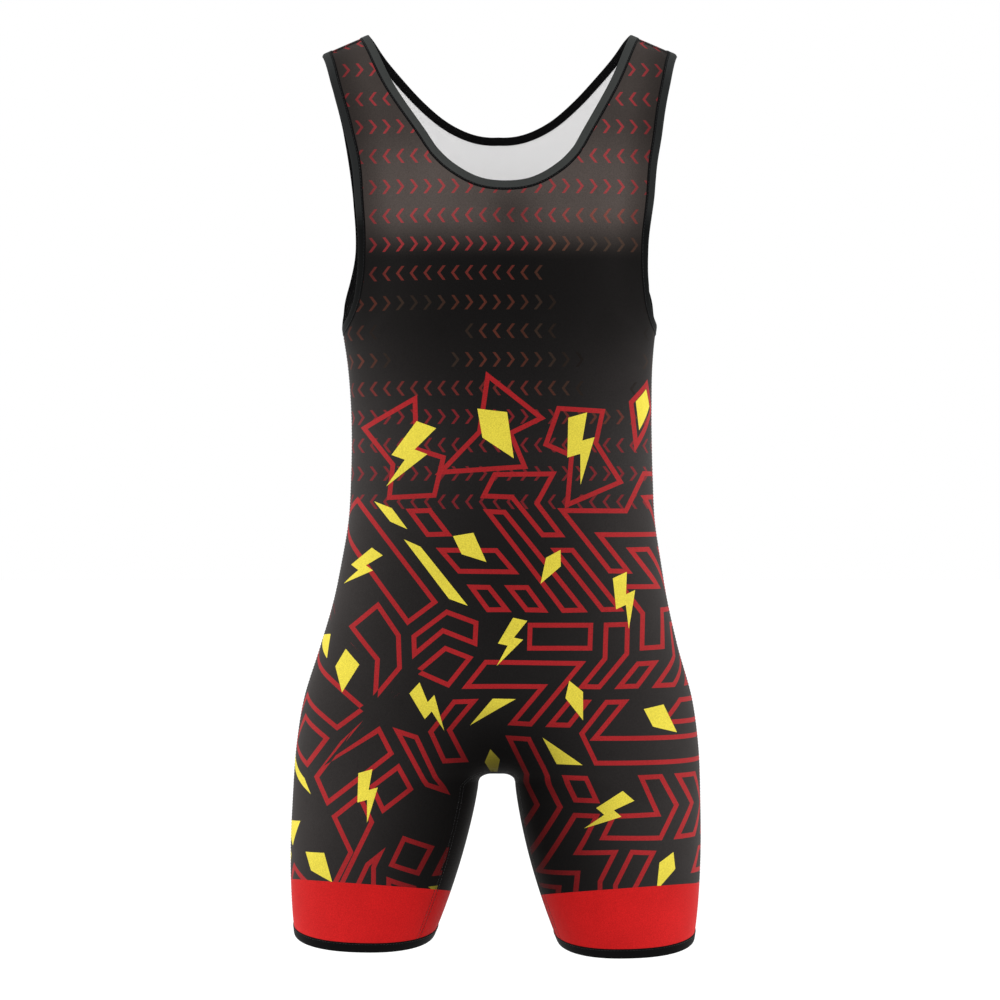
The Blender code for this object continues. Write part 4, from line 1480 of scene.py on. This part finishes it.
def add_node(tree, kind, output, inputs=None, **settings):
    """One output of a new node, whose inputs are values or the outputs of other nodes."""
    node = tree.nodes.new("ShaderNode" + kind)
    for name, value in settings.items():
        setattr(node, name, value)
    for key, value in (inputs or {}).items():
        if isinstance(value, bpy.types.NodeSocket):
            tree.links.new(value, node.inputs[key])
        else:
            node.inputs[key].default_value = value
    return node.outputs[output]


def noise(tree, scale, detail, roughness):
    place = add_node(tree, "TexCoord", "Object")
    inputs = {"Scale": scale, "Detail": detail, "Roughness": roughness, "Vector": place}
    return add_node(tree, "TexNoise", "Fac", inputs)


def uneven(tree, colour, value, by):
    """The colour, lighter and darker by a share as the middle part of a 0 to 1 value goes."""
    limits = {"From Min": 0.3, "From Max": 0.7, "To Min": 1 - by, "To Max": 1 + by}
    factor = add_node(tree, "MapRange", "Result", {**limits, "Value": value})
    return add_node(tree, "VectorMath", "Vector", {0: colour, 1: factor}, operation="MULTIPLY")


def calculated(tree, operation, *inputs):
    return add_node(tree, "Math", "Value", dict(enumerate(inputs)), operation=operation)


def knit_height(tree):
    """The heights of a plain knit over the print's plane, given in metres as a UV map."""
    parts = tree.nodes.new("ShaderNodeSeparateXYZ")
    tree.links.new(add_node(tree, "UVMap", "UV", uv_map="print"), parts.inputs["Vector"])
    across = calculated(tree, "MULTIPLY", parts.outputs["X"], 2 * math.pi / WALES)
    up = calculated(tree, "MULTIPLY", parts.outputs["Y"], 2 * math.pi / COURSES)
    half = calculated(tree, "MULTIPLY", across, 0.5)
    wave = calculated(tree, "ABSOLUTE", calculated(tree, "SINE", half))
    lean = calculated(tree, "MULTIPLY", wave, 2.2)
    course = calculated(tree, "SINE", calculated(tree, "ADD", up, lean))
    return calculated(tree, "ADD", wave, calculated(tree, "MULTIPLY", course, 0.35))


def add_bump(tree, shader, height, distance, strength):
    inputs = {"Distance": distance, "Strength": strength, "Height": height}
    tree.links.new(add_node(tree, "Bump", "Normal", inputs), shader.inputs["Normal"])


def inked(name, roughness, sheen, tint, grain, wear):
    """A cloth that takes its colour, painted light and shade included, from the ink of each face,
    uneven as yarn is.
    """
    made, tree, shader = new_material(name, roughness, sheen, tint)
    ink = add_node(tree, "VertexColor", "Color", layer_name="ink")
    colour = uneven(tree, ink, noise(tree, 1100, 2, 0.6), grain)
    colour = uneven(tree, colour, noise(tree, 14, 3, 0.55), wear)
    tree.links.new(colour, shader.inputs["Base Color"])
    return made, tree, shader


def make_materials():
    knit, tree, shader = inked("printed_knit", 0.62, 0.025, (1.0, 0.92, 0.88), 0.20, 0.08)
    add_bump(tree, shader, knit_height(tree), 0.00012, 0.55)
    reverse, tree, shader = new_material("knit_reverse", 0.8, 0.2, colour=(0.80, 0.795, 0.795))
    add_bump(tree, shader, knit_height(tree), 0.0001, 0.4)
    tape, tree, shader = inked("binding_tape", 0.6, 0.02, (0.95, 1.0, 0.98), 0.12, 0.08)
    add_bump(tree, shader, noise(tree, 1500, 1, 0.5), 0.00008, 0.4)
    thread = new_material("thread", 0.5, 0.2, colour=(0.010, 0.010, 0.011))[0]
    return knit, reverse, tape, thread


# ------------------------------------------------------------------- light and camera


CAMERA_DISTANCE = 3.4
CAMERA_X, CAMERA_Z = 0.0005, -0.455
FRAME_WIDTH = 1.0  # m that the frame spans at the garment's middle
SENSOR = 36
FLOOR_Z = -1.25
# Lamps: power, size, place and the point each faces
LAMPS = {
    "side_left": (12, (1.2, 1.8), (-2.0, -0.2, -0.2), (0, 0, -0.45)),
    "side_right": (12, (1.2, 1.8), (2.0, -0.2, -0.2), (0, 0, -0.45)),
    "top_front": (5, (1.6, 1.0), (0, -1.6, 1.5), (0, 0, -0.2)),
}


def area_light(name, power, size, place, target):
    data = bpy.data.lights.new(name, "AREA")
    data.shape = "RECTANGLE"
    data.size, data.size_y = size
    data.energy = power
    lamp = bpy.data.objects.new(name, data)
    bpy.context.scene.collection.objects.link(lamp)
    lamp.location = place
    lamp.rotation_mode = "QUATERNION"
    lamp.rotation_quaternion = (Vector(target) - Vector(place)).to_track_quat("-Z", "Y")


def make_studio():
    scene = bpy.context.scene
    scene.view_settings.view_transform = "Standard"
    scene.view_settings.look = "None"
    scene.view_settings.exposure = 0.0
    scene.view_settings.gamma = 1.0
    scene.world = bpy.data.worlds.new("studio")
    scene.world.use_nodes = True
    background = scene.world.node_tree.nodes["Background"]
    background.inputs["Color"].default_value = (1, 1, 1, 1)
    background.inputs["Strength"].default_value = 1.0
    for name, lamp in LAMPS.items():
        area_light(name, *lamp)
    bpy.ops.mesh.primitive_plane_add(size=60, location=(0, 0, FLOOR_Z))
    floor = bpy.context.object
    floor.name = "floor"
    made, _, shader = new_material("floor", 0.9, 0, colour=(0.97, 0.97, 0.97))
    shader.inputs["Emission Color"].default_value = (1, 1, 1, 1)
    shader.inputs["Emission Strength"].default_value = 0.12
    floor.data.materials.append(made)
    camera = bpy.data.cameras.new("camera")
    camera.sensor_width = SENSOR
    camera.lens = SENSOR * CAMERA_DISTANCE / FRAME_WIDTH
    camera.clip_end = 100
    holder = bpy.data.objects.new("camera", camera)
    scene.collection.objects.link(holder)
    holder.location = (CAMERA_X, -CAMERA_DISTANCE, CAMERA_Z)
    holder.rotation_euler = (math.radians(90), 0, 0)
    scene.camera = holder


# --------------------------------------------------------------------------- the whole


def main():
    knit, reverse, tape_look, thread = make_materials()
    panels = [
        (make_panel(FRONT, "front_cloth", [knit, reverse]), FRONT, "front_panel"),
        (make_panel(BACK, "back_cloth", [knit, reverse]), BACK, "back_panel"),
    ]
    tapes = {
        "neck_tape": (neck_ring, neck_ink, 0.0, "neck_binding"),
        "arm_tape_left": (partial(arm_ring, LEFT), arm_grey_and_shade, ARM_DEEPER, "arm_binding_left"),
        "arm_tape_right": (partial(arm_ring, RIGHT), arm_grey_and_shade, ARM_DEEPER, "arm_binding_right"),
        "leg_tape_left": (partial(hem_ring, LEFT), leg_ink, 0.0, "leg_binding_left"),
        "leg_tape_right": (partial(hem_ring, RIGHT), leg_ink, 0.0, "leg_binding_right"),
    }
    for name, (ring_at, ink, deeper, node) in tapes.items():
        tape, length = make_tape(name, ring_at, tape_look, ink, deeper)
        row = on_tape(ring_at(TAPE_ROW))
        sewn = make_stitches(name.replace("tape", "stitches"), [row], thread)
        for piece in (tape, sewn):
            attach(piece, "root")
        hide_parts(node)
    for piece, face, node in panels:
        sewn = make_stitches(node.replace("panel", "seam_stitches"), panel_seams(face), thread)
        for part in (piece, sewn):
            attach(part, "root")
        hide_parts(node)
    make_studio()


main()
